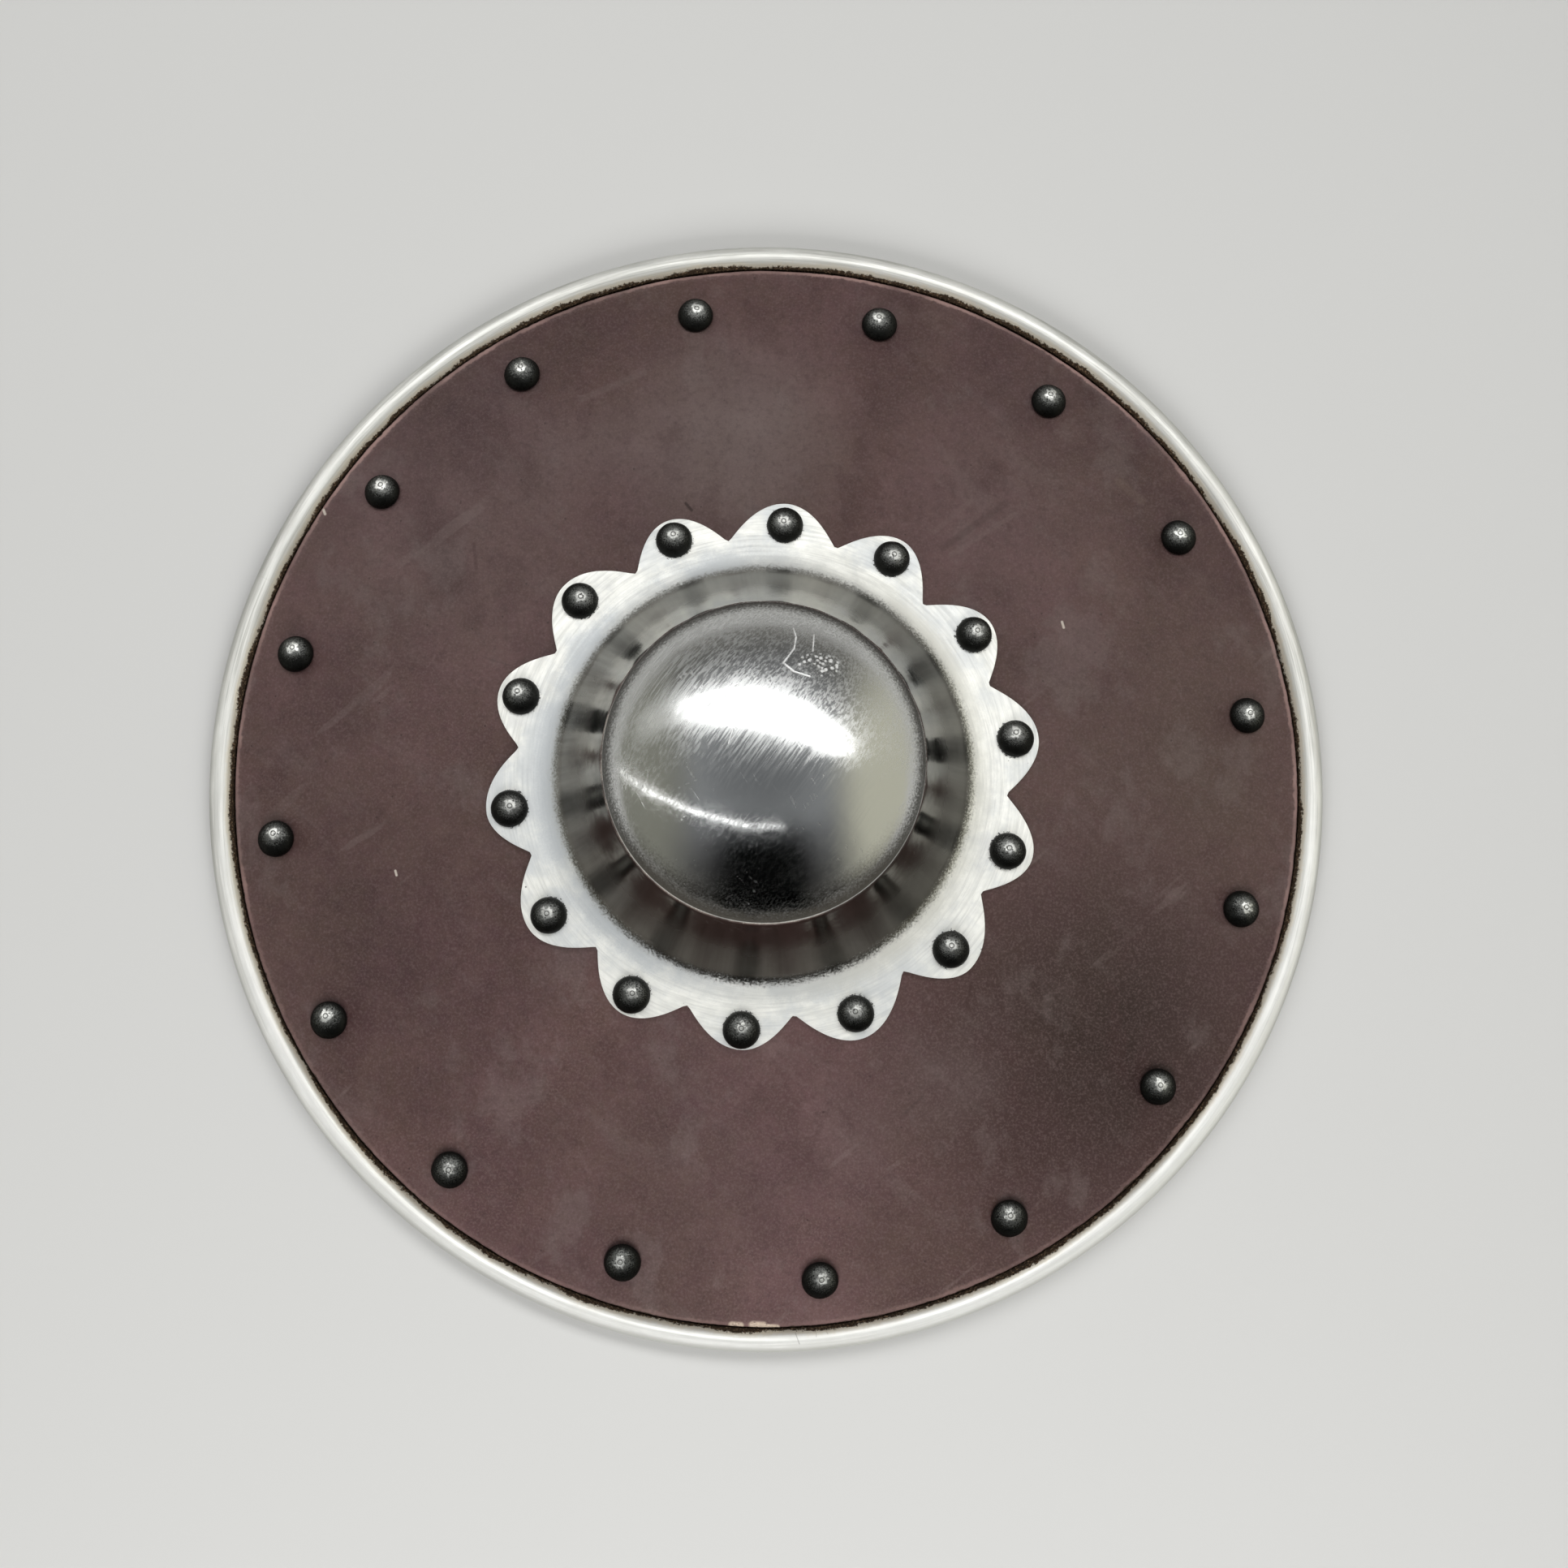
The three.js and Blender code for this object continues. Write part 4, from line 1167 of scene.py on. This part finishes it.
def raysOf(tree):
    # rays straight from the camera, and those that a surface mirrors or lets through
    rays = put(tree, "LightPath")
    bounced = calc("MAXIMUM", Field(rays, "Is Glossy Ray"), Field(rays, "Is Transmission Ray"))
    return Field(rays, "Is Camera Ray"), bounced


def makeFloor():
    bm = bmesh.new()
    bmesh.ops.create_circle(bm, cap_ends=True, segments=96, radius=studio["floorSize"])
    material, tree, shader = newMaterial("paleFloor")
    feed(shader, colour=studio["floor"], roughness=0.8, specular=0.2)
    # past the lamps' reach the floor turns into the pale backdrop, for the camera and for mirroring metal
    far = span(vectorMath("LENGTH", placeOf(tree)), 0.33, 0.95)
    share = far * calc("MAXIMUM", *raysOf(tree))
    backdrop = put(tree, "Emission", {"Color": studio["backdrop"]})
    mixed = put(tree, "MixShader", {0: share, 1: Field(shader), 2: Field(backdrop)})
    output = next(node for node in tree.nodes if node.type == "OUTPUT_MATERIAL")
    give(output.inputs["Surface"], Field(mixed))
    mesh = bpy.data.meshes.new("floor")
    bm.to_mesh(mesh)
    bm.free()
    mesh.materials.append(material)
    addObject("floor", mesh)


def makeLamp(name):
    # a flat lamp between two ends, turned about its length to face the shield
    settings = studio[name]
    left, right = Vector(settings["left"]), Vector(settings["right"])
    data = bpy.data.lights.new(name, "AREA")
    data.shape = settings["shape"]
    data.size, data.size_y = (right - left).length, settings["width"]
    data.energy = settings["power"]
    lamp = addObject(name, data)
    lamp.visible_glossy = settings["mirrored"]
    middle = (left + right) / 2
    along = (right - left).normalized()
    back = (middle - along * middle.dot(along)).normalized()
    turn = Matrix((along, back.cross(along), back)).transposed()
    lamp.matrix_world = Matrix.Translation(middle) @ turn.to_4x4()


def makeRoom():
    world = bpy.data.worlds.new("studioRoom")
    bpy.context.scene.world = world
    world.use_nodes = True
    tree = world.node_tree
    tree.nodes.clear()
    rightward, upward, height = partsOf(Field(put(tree, "TexCoord"), "Generated"))
    ramp = put(tree, "ValToRGB", {"Fac": height})
    elements = ramp.color_ramp.elements
    while len(elements) < len(studio["sky"]):
        elements.new(0.5)
    for element, (position, colour) in zip(elements, studio["sky"]):
        element.position = position
        element.color = (*colour, 1)
    sideways = calc("ABSOLUTE", rightward)
    sides = blend(span(rightward, -0.2, 0.2), studio["leftSide"], studio["rightSide"])
    tone = blend(span(sideways, 0.54, 0.88), Field(ramp, "Color"), sides)
    dark = span(upward, -0.32, -0.74) * span(sideways, 0.72, 0.24)
    direct, bounced = raysOf(tree)
    seen = calc("MAXIMUM", direct, bounced * span(height, 0.045, 0.01))
    tone = coat(tone, studio, darkNear=dark, backdrop=seen)
    background = put(tree, "Background", {"Color": tone, "Strength": 1.0})
    put(tree, "OutputWorld", {"Surface": Field(background)})


makeCamera()
makeFloor()
for lampName in ("broadLamp", "sideLamp", "fillLamp", "thinLamp"):
    makeLamp(lampName)
makeRoom()
print("camera, floor, lamps and room made")

makeBody()
print("steel body made")
makeLeather()
print("leather face made")
makeBoss()
print("boss made")
makeRivets()
print(shield["bossRivets"] + shield["faceRivets"], "rivets made")
makeStrap()
makeScale("gripScaleFront", "grip_scale_front", 1)
makeScale("gripScaleBack", "grip_scale_back", -1)
makePin("gripPinOne", "grip_pin_1", gripSettings["pinReach"])
makePin("gripPinTwo", "grip_pin_2", -gripSettings["pinReach"])
print("grip made")

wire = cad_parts["edge_wire"]
wire.data.materials.clear()
wire.data.materials.append(ironFinish)

bpy.context.scene.view_settings.view_transform = "Standard"
